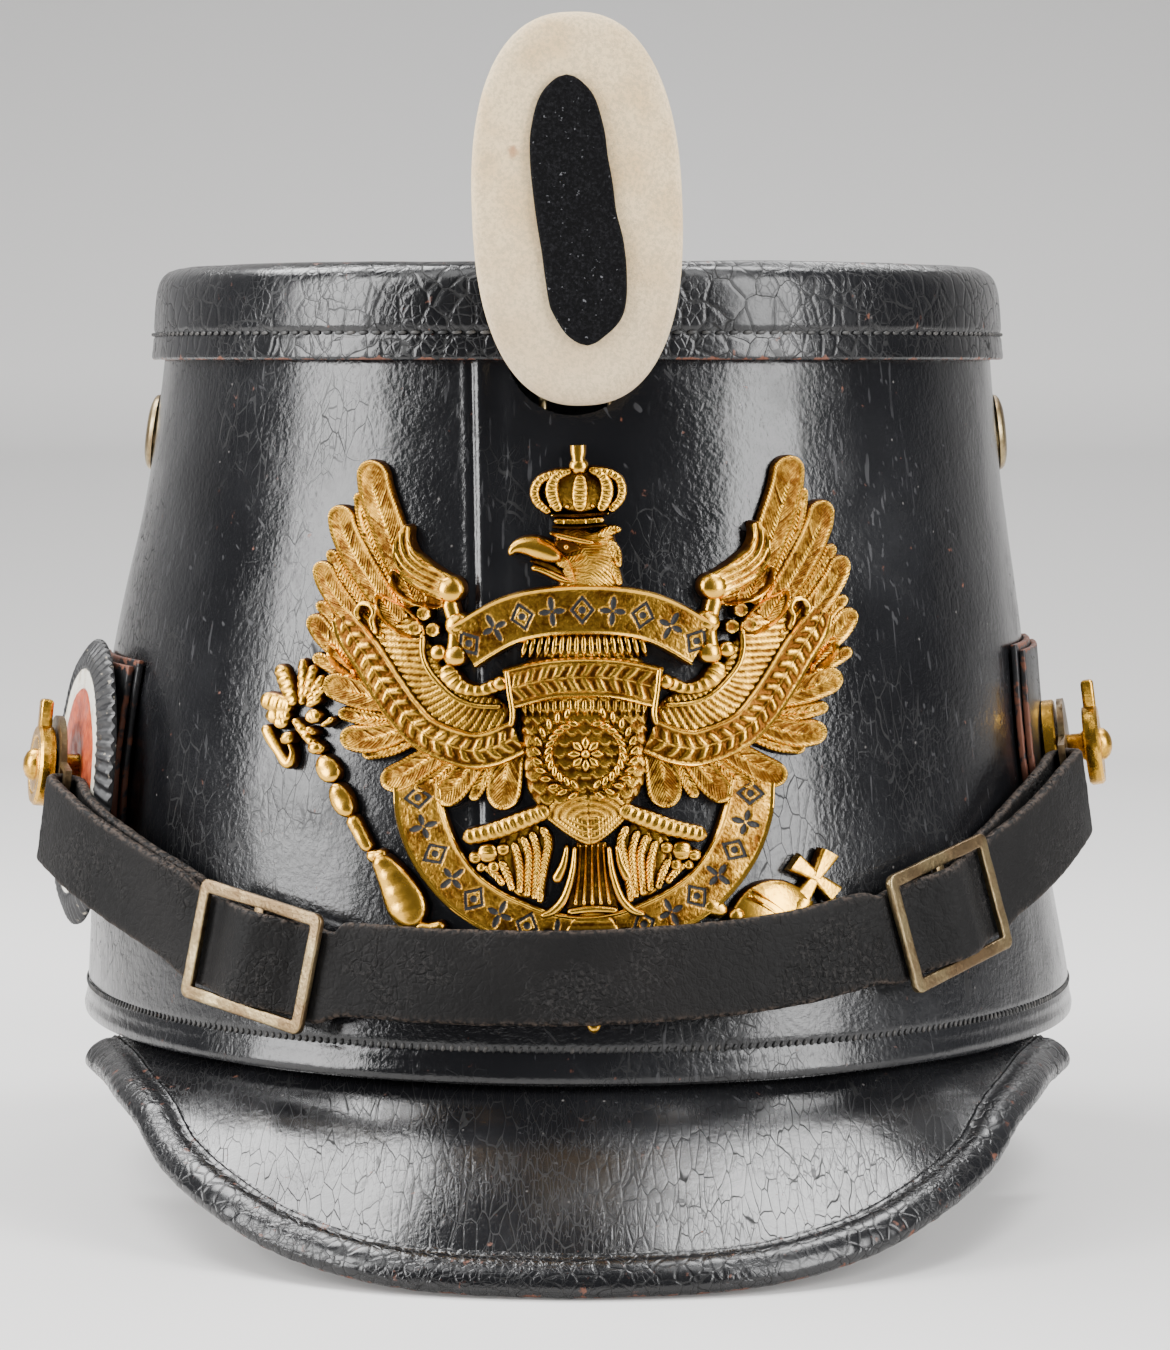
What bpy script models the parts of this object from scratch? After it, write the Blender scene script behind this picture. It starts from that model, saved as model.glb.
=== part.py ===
"""A black leather shako: a tapered oval hat with a stitched lid, two visors, a brass plate,
a woollen field badge, a cockade, side posts and a buckled leather chin strap.

Metres, +Z up. The front of the hat looks along -Y and its right-hand post stands at +X.
Heights are above the surface that both visors rest on.
"""

import math

import bmesh
import bpy
from mathutils import Matrix, Vector

# ---------------------------------------------------------------- driving dimensions
CLEARANCE = 0.0003  # air left between pieces that touch on the real hat
AXIS_Y = 0.0065  # the hat's own axis stands this far behind the origin
RING_STEPS = 40  # facets round the hat

# Outer face of the leather body: height, then reach to the left, right, front and rear.
BODY_SECTIONS = (
    (0.0300, 0.0949, 0.0949, 0.1109, 0.1109),
    (0.0360, 0.0945, 0.0945, 0.1100, 0.1100),
    (0.0600, 0.0934, 0.0903, 0.1065, 0.1072),
    (0.0800, 0.0920, 0.0870, 0.1032, 0.1044),
    (0.1020, 0.0884, 0.0850, 0.0993, 0.1012),
    (0.1310, 0.0823, 0.0812, 0.0940, 0.0970),
    (0.1670, 0.0779, 0.0779, 0.0879, 0.0920),
)
BODY_WALL = 0.0030
WALL_BEND_HEIGHT = BODY_SECTIONS[3][0]  # the wall leans in more above this height

# Lid: height, and how far its outer face stands off the body's section at the band's foot.
LID_FOOT = 0.1536
LID_ROWS = (
    (0.1536, 0.0024),
    (0.1655, 0.0016),
    (0.1687, 0.0006),
    (0.1704, -0.0014),
    (0.1710, -0.0046),
)
LID_WALL = 0.0021

NOTCH_HALF_WIDTH = 0.0118
NOTCH_CENTRE = (-0.0007, 0.1558)  # across, height
NOTCH_DEPTH = 0.0118

# Visors: angle from their own middle, how far the edge reaches out, height of the edge.
FRONT_VISOR_ROWS = (
    (0, 0.0345, 0.0033),
    (12, 0.0332, 0.0040),
    (21.5, 0.0286, 0.0068),
    (30, 0.0230, 0.0118),
    (37.5, 0.0170, 0.0166),
    (43, 0.0123, 0.0214),
    (49, 0.0082, 0.0238),
    (56, 0.0036, 0.0250),
    (62, 0.0012, 0.0254),
    (66, 0.0006, 0.0258),
)
REAR_VISOR_ROWS = (
    (0, 0.0255, 0.0011),
    (12, 0.0240, 0.0022),
    (24, 0.0190, 0.0068),
    (34, 0.0125, 0.0140),
    (42, 0.0068, 0.0206),
    (49, 0.0022, 0.0248),
    (54, -0.0010, 0.0262),
)
VISOR_WALL = 0.0025
VISOR_SEAM_OFF = -0.00475  # the sewn strip lies inside the body's wall
VISOR_SEAM_TOP = 0.0400
VISOR_BEND_HIGH = 0.0310
VISOR_BEND_LOW = (-0.0042, 0.0282)  # off the body's outer face, height
VISOR_LIP = (-0.0018, 0.0271)
VISOR_CROWN = 0.0022  # how far the visor bulges above a straight slope

TRIM_HALF_WIDTH = 0.0042
TRIM_HALF_THICK = 0.0026
TRIM_SLOT_END = 0.00105  # the slot for the visor ends this far past the edging's middle
TRIM_SLOT_MOUTH = -0.00386  # and opens here, on the inner side
TRIM_SLOT_ANGLE = 150
VISOR_SHORT = -0.0010  # the front visor's own leather stops short of the edging's middle
EDGE_DROP = 0.6  # fall of a visor's edge for each millimetre that it is lengthened

# Woollen field badge and its felt centre
BADGE_HALF_WIDTH = 0.0181
BADGE_HALF_HEIGHT = 0.0337
BADGE_THICK = 0.0066
BADGE_ROUNDNESS = 2.4
BADGE_CENTRE = (0.0, -0.0962, 0.1795)
BADGE_TILT = math.radians(2.0)
CENTRE_HALF_WIDTH = 0.0072
CENTRE_HALF_HEIGHT = 0.0234
CENTRE_THICK = 0.0011
CENTRE_SHIFT = -0.0008
CENTRE_TILT = math.radians(2.7)
PRONG_RADIUS = 0.00075
PRONG_HALF_SPAN = 0.0060

# Side posts: side (-1 left, 1 right), place ahead of the axis, height, lug's stand-off
POSTS = {
    "left": {"side": -1, "ahead": 0.0300, "height": 0.0769, "drum": 0.0012, "lug": 0.0096},
    "right": {"side": 1, "ahead": 0.0170, "height": 0.0792, "drum": 0.0022, "lug": 0.0068},
}
SHANK_RADIUS = 0.0020
NECK_RADIUS = 0.0025
DRUM_RADIUS = 0.0095
DRUM_FOOT = 0.0034
HEAD_RADIUS = 0.0076
HEAD_FOOT = 0.0107
HEAD_THICK = 0.0030
DOME_RADIUS = 0.0031
DOME_RISE = 0.0020
TAB_SIZE = (0.0034, 0.0060, 0.0024)
NUT_RADIUS = 0.0055
NUT_THICK = 0.0018
HOLE_RADIUS = 0.0024

PATCH_HALF_WIDTH = 0.0190
PATCH_HALF_HEIGHT = 0.0215
PATCH_WALL = 0.0012
PATCH_CORNER = 0.0015
PATCH_STEP = 0.0010  # the upper layer is this much smaller all round

COCKADE_RADIUS = 0.0268
COCKADE_FLAT = 0.0210
COCKADE_HOLE = 0.0052
COCKADE_DROP = 0.0024
COCKADE_FALL = 0.0018  # the fluted rim falls back towards the hat
COCKADE_WALL = 0.0006

LUG_EYE_RADIUS = 0.0095
LUG_THICK = 0.0012
LUG_BAR = 0.0025
LUG_WINDOW = 0.0042
LUG_ARM = 0.0010

# Chin strap, from the lug to the front: angle from the front, height of its middle,
# stand-off of the inner layer and of the outer layer (the inner one ends at the buckle).
STRAP_WIDTH = 0.0162
STRAP_THICK = 0.0020
STRAP_TURN_RADIUS = 0.0027
STRAP_LEFT = (
    (66.0, 0.0685, None, None),
    (62.0, 0.0660, 0.0090, 0.0127),
    (58.0, 0.0634, 0.0083, 0.0116),
    (52.0, 0.0590, 0.0056, 0.0086),
    (45.5, 0.0542, 0.0028, 0.0056),
)
STRAP_RIGHT = (
    (73.0, 0.0722, None, None),
    (68.5, 0.0694, 0.0046, 0.0094),
    (63.5, 0.0664, 0.0030, 0.0082),
    (57.5, 0.0628, 0.0022, 0.0066),
    (53.5, 0.0603, 0.0020, 0.0052),
)
# The stretch past each buckle, over the front of the hat: angle, height, stand-off.
STRAP_FRONT = (
    (-24.0, 0.0480, 0.0046),
    (-16.0, 0.0478, 0.0045),
    (-8.0, 0.0477, 0.0045),
    (0.0, 0.0478, 0.0045),
    (8.0, 0.0483, 0.0045),
    (16.0, 0.0490, 0.0045),
    (24.0, 0.0503, 0.0045),
    (32.0, 0.0524, 0.0045),
)
BUCKLES = {"left": (-34.5, 0.0488), "right": (42.5, 0.0551)}
BUCKLE_WIDTH = 0.0290
BUCKLE_HEIGHT = 0.0214
BUCKLE_BAR = 0.0023
BUCKLE_THICK = 0.0013
BUCKLE_STAND = 0.0058  # middle of the frame, off the wall
# Strap at a buckle, in the flat frame's own plane: distance from its centre bar, and the
# heights over the hat's wall there of the outer and the inner layer.
BUCKLE_PASS = (
    (0.0156, 0.0035, 0.0007),
    (0.0120, 0.0037, 0.0010),
    (0.0088, 0.0044, 0.0013),
    (0.0050, 0.0064, 0.0018),
    (0.0018, 0.0080, 0.0026),
    (0.0000, 0.0083, 0.0030),
)

VENT_HEIGHT = 0.1397
VENT_RADIUS = 0.0073
VENT_BARREL = 0.0050
VENT_HOLE = 0.0040
VENT_RIM = 0.0011

# ---------------------------------------------------------------- brass plate
# The plate's own axes: across from its middle line, and height. One half is drawn, and
# what has a twin is mirrored. Depths are above the plate's back.
PLATE_MIDDLE = 0.0010
PLATE_TILT = math.radians(0.6)
PLATE_TURN_HEIGHT = 0.0950
PLATE_BACK = 0.0004

# Long feathers: tip across, tip height, root across, root height, bow, half width.
FEATHERS = (
    (0.0366, 0.1368, 0.0295, 0.1090, -0.0016, 0.0029),
    (0.0434, 0.1290, 0.0325, 0.1080, -0.0012, 0.0029),
    (0.0467, 0.1190, 0.0350, 0.1040, -0.0010, 0.0026),
    (0.0488, 0.1068, 0.0380, 0.1000, -0.0008, 0.0025),
    (0.0454, 0.0971, 0.0340, 0.0950, 0.0006, 0.0025),
    (0.0420, 0.0878, 0.0310, 0.0905, 0.0008, 0.0025),
    (0.0356, 0.0805, 0.0255, 0.0885, 0.0008, 0.0026),
    (0.0258, 0.0772, 0.0190, 0.0885, 0.0008, 0.0026),
    (0.0154, 0.0765, 0.0130, 0.0890, 0.0000, 0.0026),
)
# Short feathers that show behind the long ones.
BACK_FEATHERS = (
    (0.0404, 0.1322, 0.0320, 0.1100, -0.0010, 0.0020),
    (0.0392, 0.0838, 0.0290, 0.0900, 0.0006, 0.0020),
)
# Shoulder leaves, bound scrolls, ribbons and the like: rows of across, height, half width.
SHOULDER_LEAF = (
    (0.0298, 0.1256, 0.0005),
    (0.0290, 0.1215, 0.0018),
    (0.0262, 0.1172, 0.0025),
    (0.0228, 0.1142, 0.0022),
    (0.0212, 0.1130, 0.0012),
)
SECOND_LEAF = (
    (0.0330, 0.1185, 0.0006),
    (0.0312, 0.1150, 0.0018),
    (0.0278, 0.1120, 0.0021),
    (0.0236, 0.1124, 0.0014),
)
SHOULDER_SHAFT = ((0.0228, 0.1141, 0.0011), (0.0219, 0.1078, 0.0011), (0.0226, 0.1010, 0.0011))
THIRD_LEAF = (
    (0.0358, 0.1140, 0.0006),
    (0.0338, 0.1105, 0.0018),
    (0.0310, 0.1075, 0.0020),
    (0.0285, 0.1055, 0.0014),
)
WING_FIELD = (
    (0.0330, 0.1110, 0.0040),
    (0.0318, 0.1040, 0.0062),
    (0.0282, 0.0975, 0.0066),
    (0.0210, 0.0935, 0.0058),
    (0.0110, 0.0925, 0.0050),
)
WING_RIBBON = (
    (0.0412, 0.1095, 0.0021),
    (0.0392, 0.1045, 0.0030),
    (0.0362, 0.0988, 0.0030),
    (0.0324, 0.0932, 0.0030),
    (0.0276, 0.0890, 0.0030),
    (0.0222, 0.0874, 0.0030),
    (0.0166, 0.0870, 0.0030),
    (0.0112, 0.0886, 0.0029),
)
INNER_SCROLL = (
    (0.0222, 0.1010, 0.0018),
    (0.0205, 0.0985, 0.0014),
    (0.0178, 0.0974, 0.0013),
    (0.0140, 0.0991, 0.0013),
    (0.0116, 0.0992, 0.0009),
)
TREFOIL = (
    (0.0292, 0.1098, 0.0009),
    (0.0277, 0.1090, 0.0017),
    (0.0262, 0.1080, 0.0009),
)
KNOBS = ((0.0226, 0.1141, 0.0023), (0.0219, 0.1078, 0.0021), (0.0226, 0.1028, 0.0021))
TOP_SCROLL_HALF = (
    (0.0000, 0.1108, 0.0040),
    (0.0075, 0.1102, 0.0040),
    (0.0146, 0.1079, 0.0041),
    (0.0206, 0.1043, 0.0042),
)
CROSS_BAND_HALF = ((0.0000, 0.0988, 0.0043), (0.0070, 0.0982, 0.0046), (0.0129, 0.0965, 0.0048))
LOWER_RIBBON_HALF = (
    (0.0000, 0.0551, 0.0036),
    (0.0068, 0.0562, 0.0036),
    (0.0134, 0.0586, 0.0036),
    (0.0203, 0.0625, 0.0036),
    (0.0251, 0.0672, 0.0036),
    (0.0279, 0.0722, 0.0036),
    (0.0288, 0.0790, 0.0036),
)
TORSO = (
    (0.0005, 0.1170, 0.0052),
    (0.0004, 0.1100, 0.0078),
    (0.0000, 0.1010, 0.0108),
    (0.0002, 0.0920, 0.0114),
    (0.0004, 0.0840, 0.0110),
    (0.0004, 0.0780, 0.0092),
    (0.0004, 0.0735, 0.0052),
    (0.0004, 0.0712, 0.0018),
)
NECK = ((0.0036, 0.1140, 0.0044), (0.0034, 0.1190, 0.0036), (0.0020, 0.1226, 0.0036))
HEAD = (
    (0.0064, 0.1226, 0.0016),
    (0.0030, 0.1228, 0.0034),
    (-0.0020, 0.1224, 0.0034),
    (-0.0056, 0.1216, 0.0026),
)
BEAK = (
    (-0.0040, 0.1222, 0.0022),
    (-0.0086, 0.1220, 0.0016),
    (-0.0114, 0.1212, 0.0009),
    (-0.0126, 0.1198, 0.0004),
)
LOWER_BEAK = ((-0.0020, 0.1190, 0.0016), (-0.0064, 0.1182, 0.0011), (-0.0092, 0.1176, 0.0005))
CROWN_BASE = ((-0.0054, 0.1262, 0.0013), (0.0000, 0.1260, 0.0013), (0.0046, 0.1262, 0.0013))
CROWN_DOME = (
    (-0.0004, 0.1268, 0.0048),
    (-0.0004, 0.1290, 0.0070),
    (-0.0004, 0.1312, 0.0082),
    (-0.0004, 0.1330, 0.0072),
    (-0.0004, 0.1342, 0.0044),
    (-0.0004, 0.1347, 0.0016),
)
CROWN_TOP = ((-0.0007, 0.1338, 0.0014), (-0.0007, 0.1358, 0.0019), (-0.0007, 0.1376, 0.0010))
CROWN_CROSS = ((-0.0007, 0.1368, 0.0012), (-0.0007, 0.1390, 0.0013))
LEG = ((0.0050, 0.0772, 0.0018), (0.0088, 0.0760, 0.0016), (0.0145, 0.0740, 0.0014),
       (0.0210, 0.0726, 0.0015), (0.0242, 0.0726, 0.0016))
LEG_FAN = ((0.0086, 0.0752, 0.0020), (0.0108, 0.0700, 0.0034), (0.0122, 0.0652, 0.0030),
           (0.0122, 0.0604, 0.0014))
TAIL = (
    (0.0010, 0.0740, 0.0022),
    (0.0010, 0.0690, 0.0030),
    (0.0008, 0.0640, 0.0038),
    (0.0006, 0.0590, 0.0056),
    (0.0008, 0.0520, 0.0066),
    (0.0012, 0.0450, 0.0038),
    (0.0016, 0.0392, 0.0006),
)
SCEPTRE = (
    (-0.0470, 0.0900, 0.0012),
    (-0.0464, 0.0862, 0.0013),
    (-0.0440, 0.0820, 0.0017),
    (-0.0420, 0.0782, 0.0012),
    (-0.0386, 0.0732, 0.0014),
    (-0.0352, 0.0684, 0.0012),
    (-0.0322, 0.0638, 0.0022),
    (-0.0294, 0.0600, 0.0024),
    (-0.0264, 0.0560, 0.0014),
    (-0.0190, 0.0580, 0.0012),
)
SCEPTRE_WINGS = (
    (-0.0560, 0.0975, -0.0440, 0.0900, 0.0020),
    (-0.0440, 0.1000, -0.0500, 0.0880, 0.0022),
    (-0.0410, 0.0910, -0.0500, 0.0930, 0.0018),
    (-0.0530, 0.0850, -0.0490, 0.0940, 0.0018),
    (-0.0520, 0.1030, -0.0490, 0.0930, 0.0014),
)
ORB_CENTRE = (0.0323, 0.0560)
ORB_RADIUS = 0.0076
ORB_STALK = ((0.0200, 0.0600, 0.0016), (0.0268, 0.0572, 0.0018))
ORB_CROSS = (
    (0.0360, 0.0600, 0.0432, 0.0684, 0.0014),
    (0.0368, 0.0675, 0.0430, 0.0606, 0.0014),
)

# ---------------------------------------------------------------- finishes (colour, roughness, metal)
FINISHES = {
    "lacquered_leather": ((0.012, 0.012, 0.013), 0.30, 0.0),
    "strap_leather": ((0.020, 0.019, 0.018), 0.70, 0.0),
    "edge_leather": ((0.050, 0.028, 0.018), 0.60, 0.0),
    "gilt_brass": ((0.560, 0.370, 0.120), 0.32, 1.0),
    "aged_brass": ((0.300, 0.235, 0.130), 0.42, 1.0),
    "white_wool": ((0.700, 0.650, 0.540), 0.90, 0.0),
    "black_felt": ((0.008, 0.008, 0.008), 0.95, 0.0),
    "painted_tin": ((0.030, 0.030, 0.030), 0.40, 0.3),
}


# ---------------------------------------------------------------- shared helpers
def clear_scene():
    for item in list(bpy.data.objects):
        bpy.data.objects.remove(item, do_unlink=True)


def make_collection(name):
    collection = bpy.data.collections.new(name)
    bpy.context.scene.collection.children.link(collection)
    return collection


def finish_material(name):
    material = bpy.data.materials.get(name)
    if material is None:
        colour, roughness, metal = FINISHES[name]
        material = bpy.data.materials.new(name)
        material.use_nodes = True
        shader = material.node_tree.nodes["Principled BSDF"]
        shader.inputs["Base Color"].default_value = (*colour, 1.0)
        shader.inputs["Roughness"].default_value = roughness
        shader.inputs["Metallic"].default_value = metal
        material.diffuse_color = (*colour, 1.0)
    return material


def add_part(name, mesh, finish, matrix=None):
    item = bpy.data.objects.new(name, mesh)
    PARTS.objects.link(item)
    item.parent = STAND
    mesh.materials.clear()
    mesh.materials.append(finish_material(finish))
    if matrix is not None:
        item.matrix_local = matrix
    return item


def add_cutter(name, mesh, matrix=None):
    item = bpy.data.objects.new(name, mesh)
    CUTTERS.objects.link(item)
    item.parent = STAND
    item.hide_render = True
    item.display_type = "WIRE"
    if matrix is not None:
        item.matrix_local = matrix
    return item


def mesh_from(name, bm, recalculate=True):
    if recalculate:
        bmesh.ops.recalc_face_normals(bm, faces=bm.faces)
    mesh = bpy.data.meshes.new(name)
    bm.to_mesh(mesh)
    bm.free()
    return mesh


def surface_mesh(name, rows, closed):
    """An open surface through rows of points, which run round the hat or along a piece."""
    bm = bmesh.new()
    grid = [[bm.verts.new(point) for point in row] for row in rows]
    count = len(grid[0])
    for low, high in zip(grid, grid[1:]):
        for i in range(count if closed else count - 1):
            j = (i + 1) % count
            bm.faces.new((low[i], low[j], high[j], high[i]))
    return mesh_from(name, bm, recalculate=False)


def lofted_mesh(name, sections):
    """A closed body through rings of equal point counts, capped at both ends."""
    bm = bmesh.new()
    add_loft(bm, sections)
    return mesh_from(name, bm)


def add_loft(bm, sections):
    rings = [[bm.verts.new(point) for point in section] for section in sections]
    count = len(rings[0])
    for one, two in zip(rings, rings[1:]):
        for i in range(count):
            j = (i + 1) % count
            bm.faces.new((one[i], one[j], two[j], two[i]))
    bm.faces.new(list(reversed(rings[0])))
    bm.faces.new(rings[-1])


def cylinder_mesh(name, radius, depth, sides=24, centre=(0, 0, 0)):
    bm = bmesh.new()
    bmesh.ops.create_cone(bm, cap_ends=True, segments=sides, radius1=radius, radius2=radius,
                          depth=depth, matrix=Matrix.Translation(centre))
    return mesh_from(name, bm)


def box_mesh(name, size, centre=(0, 0, 0)):
    bm = bmesh.new()
    matrix = Matrix.Translation(centre) @ Matrix.Diagonal((*size, 1.0))
    bmesh.ops.create_cube(bm, size=1.0, matrix=matrix)
    return mesh_from(name, bm)


def add_solidify(item, thickness, offset):
    wall = item.modifiers.new("wall", "SOLIDIFY")
    wall.thickness = thickness
    wall.offset = offset
    wall.use_even_offset = True


def add_boolean(item, operation, cutter):
    cut = item.modifiers.new(operation.lower(), "BOOLEAN")
    cut.operation = operation
    cut.object = cutter


def add_turned(name, profile, finish, matrix, steps=18, closed=False):
    """A turned body: the profile runs down its outer side, as radius and height."""
    bm = bmesh.new()
    points = [bm.verts.new((radius, 0.0, height)) for radius, height in profile]
    for one, two in zip(points, points[1:]):
        bm.edges.new((one, two))
    if closed:
        bm.edges.new((points[-1], points[0]))
    item = add_part(name, mesh_from(name, bm, recalculate=False), finish, matrix)
    turn = item.modifiers.new("turn", "SCREW")
    turn.axis = "Z"
    turn.steps = steps
    turn.render_steps = steps
    turn.use_merge_vertices = True
    turn.merge_threshold = 0.00001
    return item


def spaced(rows, position):
    """Values of a table at a position in its first column, joined by straight runs."""
    position = min(max(position, rows[0][0]), rows[-1][0])
    for low, high in zip(rows, rows[1:]):
        if position <= high[0]:
            share = (position - low[0]) / (high[0] - low[0])
            return [a + (b - a) * share for a, b in zip(low[1:], high[1:])]
    return list(rows[-1][1:])


# ---------------------------------------------------------------- the hat's own shape
def wall_frame(angle, height):
    """Point on the body's outer face and the outward direction; angle runs from the front."""
    left, right, front, rear = spaced(BODY_SECTIONS, height)
    sine, cosine = math.sin(angle), math.cos(angle)
    across = right if sine > 0 else left
    along = front if cosine > 0 else rear
    outward = Vector((sine / across, -cosine / along, 0.0)).normalized()
    return Vector((across * sine, -along * cosine, height)), outward


def wall_point(angle, height, off=0.0):
    point, outward = wall_frame(angle, height)
    return point + outward * off


def wall_normal(angle, height):
    """Outward normal of the wall, with its lean."""
    step = 0.004
    up = wall_point(angle, height + step) - wall_point(angle, height - step)
    _, outward = wall_frame(angle, height)
    along = Vector((-outward.y, outward.x, 0.0))
    return along.cross(up).normalized()


def front_point(across, height, off):
    """Point over the front of the body at a distance across, off its outer face."""
    left, right, front, _ = spaced(BODY_SECTIONS, height)
    reach = right if across > 0 else left
    angle = math.asin(max(-1.0, min(1.0, across / reach)))
    return wall_point(angle, height, off)


def ring(height, off=0.0, section_height=None):
    base = height if section_height is None else section_height
    points = []
    for i in range(RING_STEPS):
        point = wall_point(math.tau * i / RING_STEPS, base, off)
        point.z = height
        points.append(point)
    return points


# ---------------------------------------------------------------- body, lid and visors
def build_body():
    rows = [ring(row[0]) for row in BODY_SECTIONS]
    body = add_part("body_shell", surface_mesh("body_shell", rows, True), "lacquered_leather")
    add_solidify(body, BODY_WALL, -1.0)
    notch = cylinder_mesh("notch_cutter", 1.0, 1.0, sides=24)
    size = Matrix.Diagonal((NOTCH_HALF_WIDTH, NOTCH_DEPTH, 0.03, 1.0))
    place = Matrix.Translation((NOTCH_CENTRE[0], -0.0900, NOTCH_CENTRE[1]))
    notch.transform(Matrix.Rotation(math.pi / 2, 4, "X") @ size)
    add_boolean(body, "DIFFERENCE", add_cutter("notch_cutter", notch, place))
    for label, post in POSTS.items():
        hole = cylinder_mesh("post_hole_" + label, HOLE_RADIUS, 0.030, sides=12)
        add_boolean(body, "DIFFERENCE", add_cutter("post_hole_" + label, hole, post_frame(post)))
    for label, side in (("left", -1), ("right", 1)):
        hole = cylinder_mesh("vent_hole_" + label, VENT_BARREL + CLEARANCE, 0.024, sides=16)
        cutter = add_cutter("vent_hole_" + label, hole, side_frame(side * math.pi / 2, VENT_HEIGHT))
        add_boolean(body, "DIFFERENCE", cutter)
    return body


def build_lid():
    rows = [ring(height, off, LID_FOOT) for height, off in LID_ROWS]
    bm = bmesh.new()
    bm.from_mesh(surface_mesh("lid_skin", rows, True))
    top = [vert for vert in bm.verts if abs(vert.co.z - LID_ROWS[-1][0]) < 1e-6]
    edges = [edge for edge in bm.edges if all(vert in top for vert in edge.verts)]
    bmesh.ops.contextual_create(bm, geom=edges)
    bmesh.ops.recalc_face_normals(bm, faces=bm.faces)
    lid = add_part("crown_lid", mesh_from("crown_lid", bm, recalculate=False), "lacquered_leather")
    add_solidify(lid, LID_WALL, -1.0)
    return lid


def visor_section(angle, reach, edge_height, bite):
    """Middle line of a visor's leather from the sewn strip to its edge."""
    seam = [
        wall_point(angle, VISOR_SEAM_TOP, VISOR_SEAM_OFF),
        wall_point(angle, VISOR_BEND_HIGH, VISOR_SEAM_OFF),
        wall_point(angle, BODY_SECTIONS[0][0], VISOR_BEND_LOW[0]),
    ]
    seam[2].z = VISOR_BEND_LOW[1]
    steps = 3
    start = Vector(VISOR_LIP)
    end = Vector((reach + bite, edge_height - bite * EDGE_DROP))
    span = (end - start).length
    points = list(seam)
    for step in range(steps + 1):
        share = step / steps
        rise = VISOR_CROWN * 4 * share * (1 - share) * min(1.0, span / 0.030)
        off, height = start.lerp(end, share)
        point = wall_point(angle, BODY_SECTIONS[0][0], off)
        point.z = height + rise
        points.append(point)
    return points


def visor_angles(rows, steps):
    limit = rows[-1][0]
    return [limit * (2 * i / steps - 1) for i in range(steps + 1)]


def build_visor(name, rows, middle, bite, steps):
    columns = []
    for angle in visor_angles(rows, steps):
        reach, height = spaced(rows, abs(angle))
        columns.append(visor_section(middle + math.radians(angle), reach, height, bite))
    visor = add_part(name, surface_mesh(name, columns, False), "lacquered_leather")
    add_solidify(visor, VISOR_WALL, 0.0)
    return visor


def trim_section():
    """Folded edging: an oval with a slot for the visor's edge on its inner side."""
    slot = VISOR_WALL / 2 + CLEARANCE
    steps = 7
    points = []
    for i in range(steps + 1):
        angle = math.radians(TRIM_SLOT_ANGLE * (1 - 2 * i / steps))
        points.append((TRIM_HALF_WIDTH * math.cos(angle), TRIM_HALF_THICK * math.sin(angle)))
    points.append((TRIM_SLOT_MOUTH, -slot))
    points.append((TRIM_SLOT_END, -slot))
    points.append((TRIM_SLOT_END, slot))
    points.append((TRIM_SLOT_MOUTH, slot))
    return points


def build_trim(steps=26):
    """The edging follows the visor's edge, square to it and turned with the visor's slope."""
    lines = []
    for angle in visor_angles(FRONT_VISOR_ROWS, steps):
        reach, height = spaced(FRONT_VISOR_ROWS, abs(angle))
        lines.append(visor_section(math.radians(angle), reach, height, 0.0))
    sections = []
    for i, line in enumerate(lines):
        edge = line[-1]
        along = (lines[min(i + 1, steps)][-1] - lines[max(i - 1, 0)][-1]).normalized()
        slope = edge - line[-2]
        outward = (slope - along * slope.dot(along)).normalized()
        upward = outward.cross(along)
        if upward.z < 0:
            upward.negate()
        sections.append([edge + outward * a + upward * b for a, b in trim_section()])
    return add_part("visor_trim", lofted_mesh("visor_trim", sections), "edge_leather")


# ---------------------------------------------------------------- field badge
def oval_points(half_width, half_height, roundness, count):
    points = []
    for i in range(count):
        angle = math.tau * i / count
        cosine, sine = math.cos(angle), math.sin(angle)
        x = half_width * math.copysign(abs(cosine) ** (2 / roundness), cosine)
        z = half_height * math.copysign(abs(sine) ** (2 / roundness), sine)
        points.append((x, z))
    return points


def oval_sections(half_width, half_height, rows, count):
    """Ovals stacked along Y: rows give a place along Y and how far the outline draws in."""
    sections = []
    for place, inset in rows:
        outline = oval_points(half_width - inset, half_height - inset, BADGE_ROUNDNESS, count)
        sections.append([Vector((x, place, z)) for x, z in outline])
    return sections


def build_badge():
    half = BADGE_THICK / 2
    rows = ((half, 0.0010), (half - 0.0010, 0.0), (-half + 0.0024, 0.0), (-half + 0.0008, 0.0008),
            (-half, 0.0026))
    sections = oval_sections(BADGE_HALF_WIDTH, BADGE_HALF_HEIGHT, rows, 32)
    matrix = Matrix.Translation(BADGE_CENTRE) @ Matrix.Rotation(-BADGE_TILT, 4, "Y")
    add_part("field_badge", lofted_mesh("field_badge", sections), "white_wool", matrix)
    front = BADGE_CENTRE[1] - half - CLEARANCE
    rows = ((0.0, 0.0), (-CENTRE_THICK + 0.0003, 0.0), (-CENTRE_THICK, 0.0004))
    sections = oval_sections(CENTRE_HALF_WIDTH, CENTRE_HALF_HEIGHT, rows, 24)
    matrix = Matrix.Translation((CENTRE_SHIFT, front, BADGE_CENTRE[2]))
    matrix = matrix @ Matrix.Rotation(-CENTRE_TILT, 4, "Y")
    add_part("badge_centre", lofted_mesh("badge_centre", sections), "black_felt", matrix)


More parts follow.
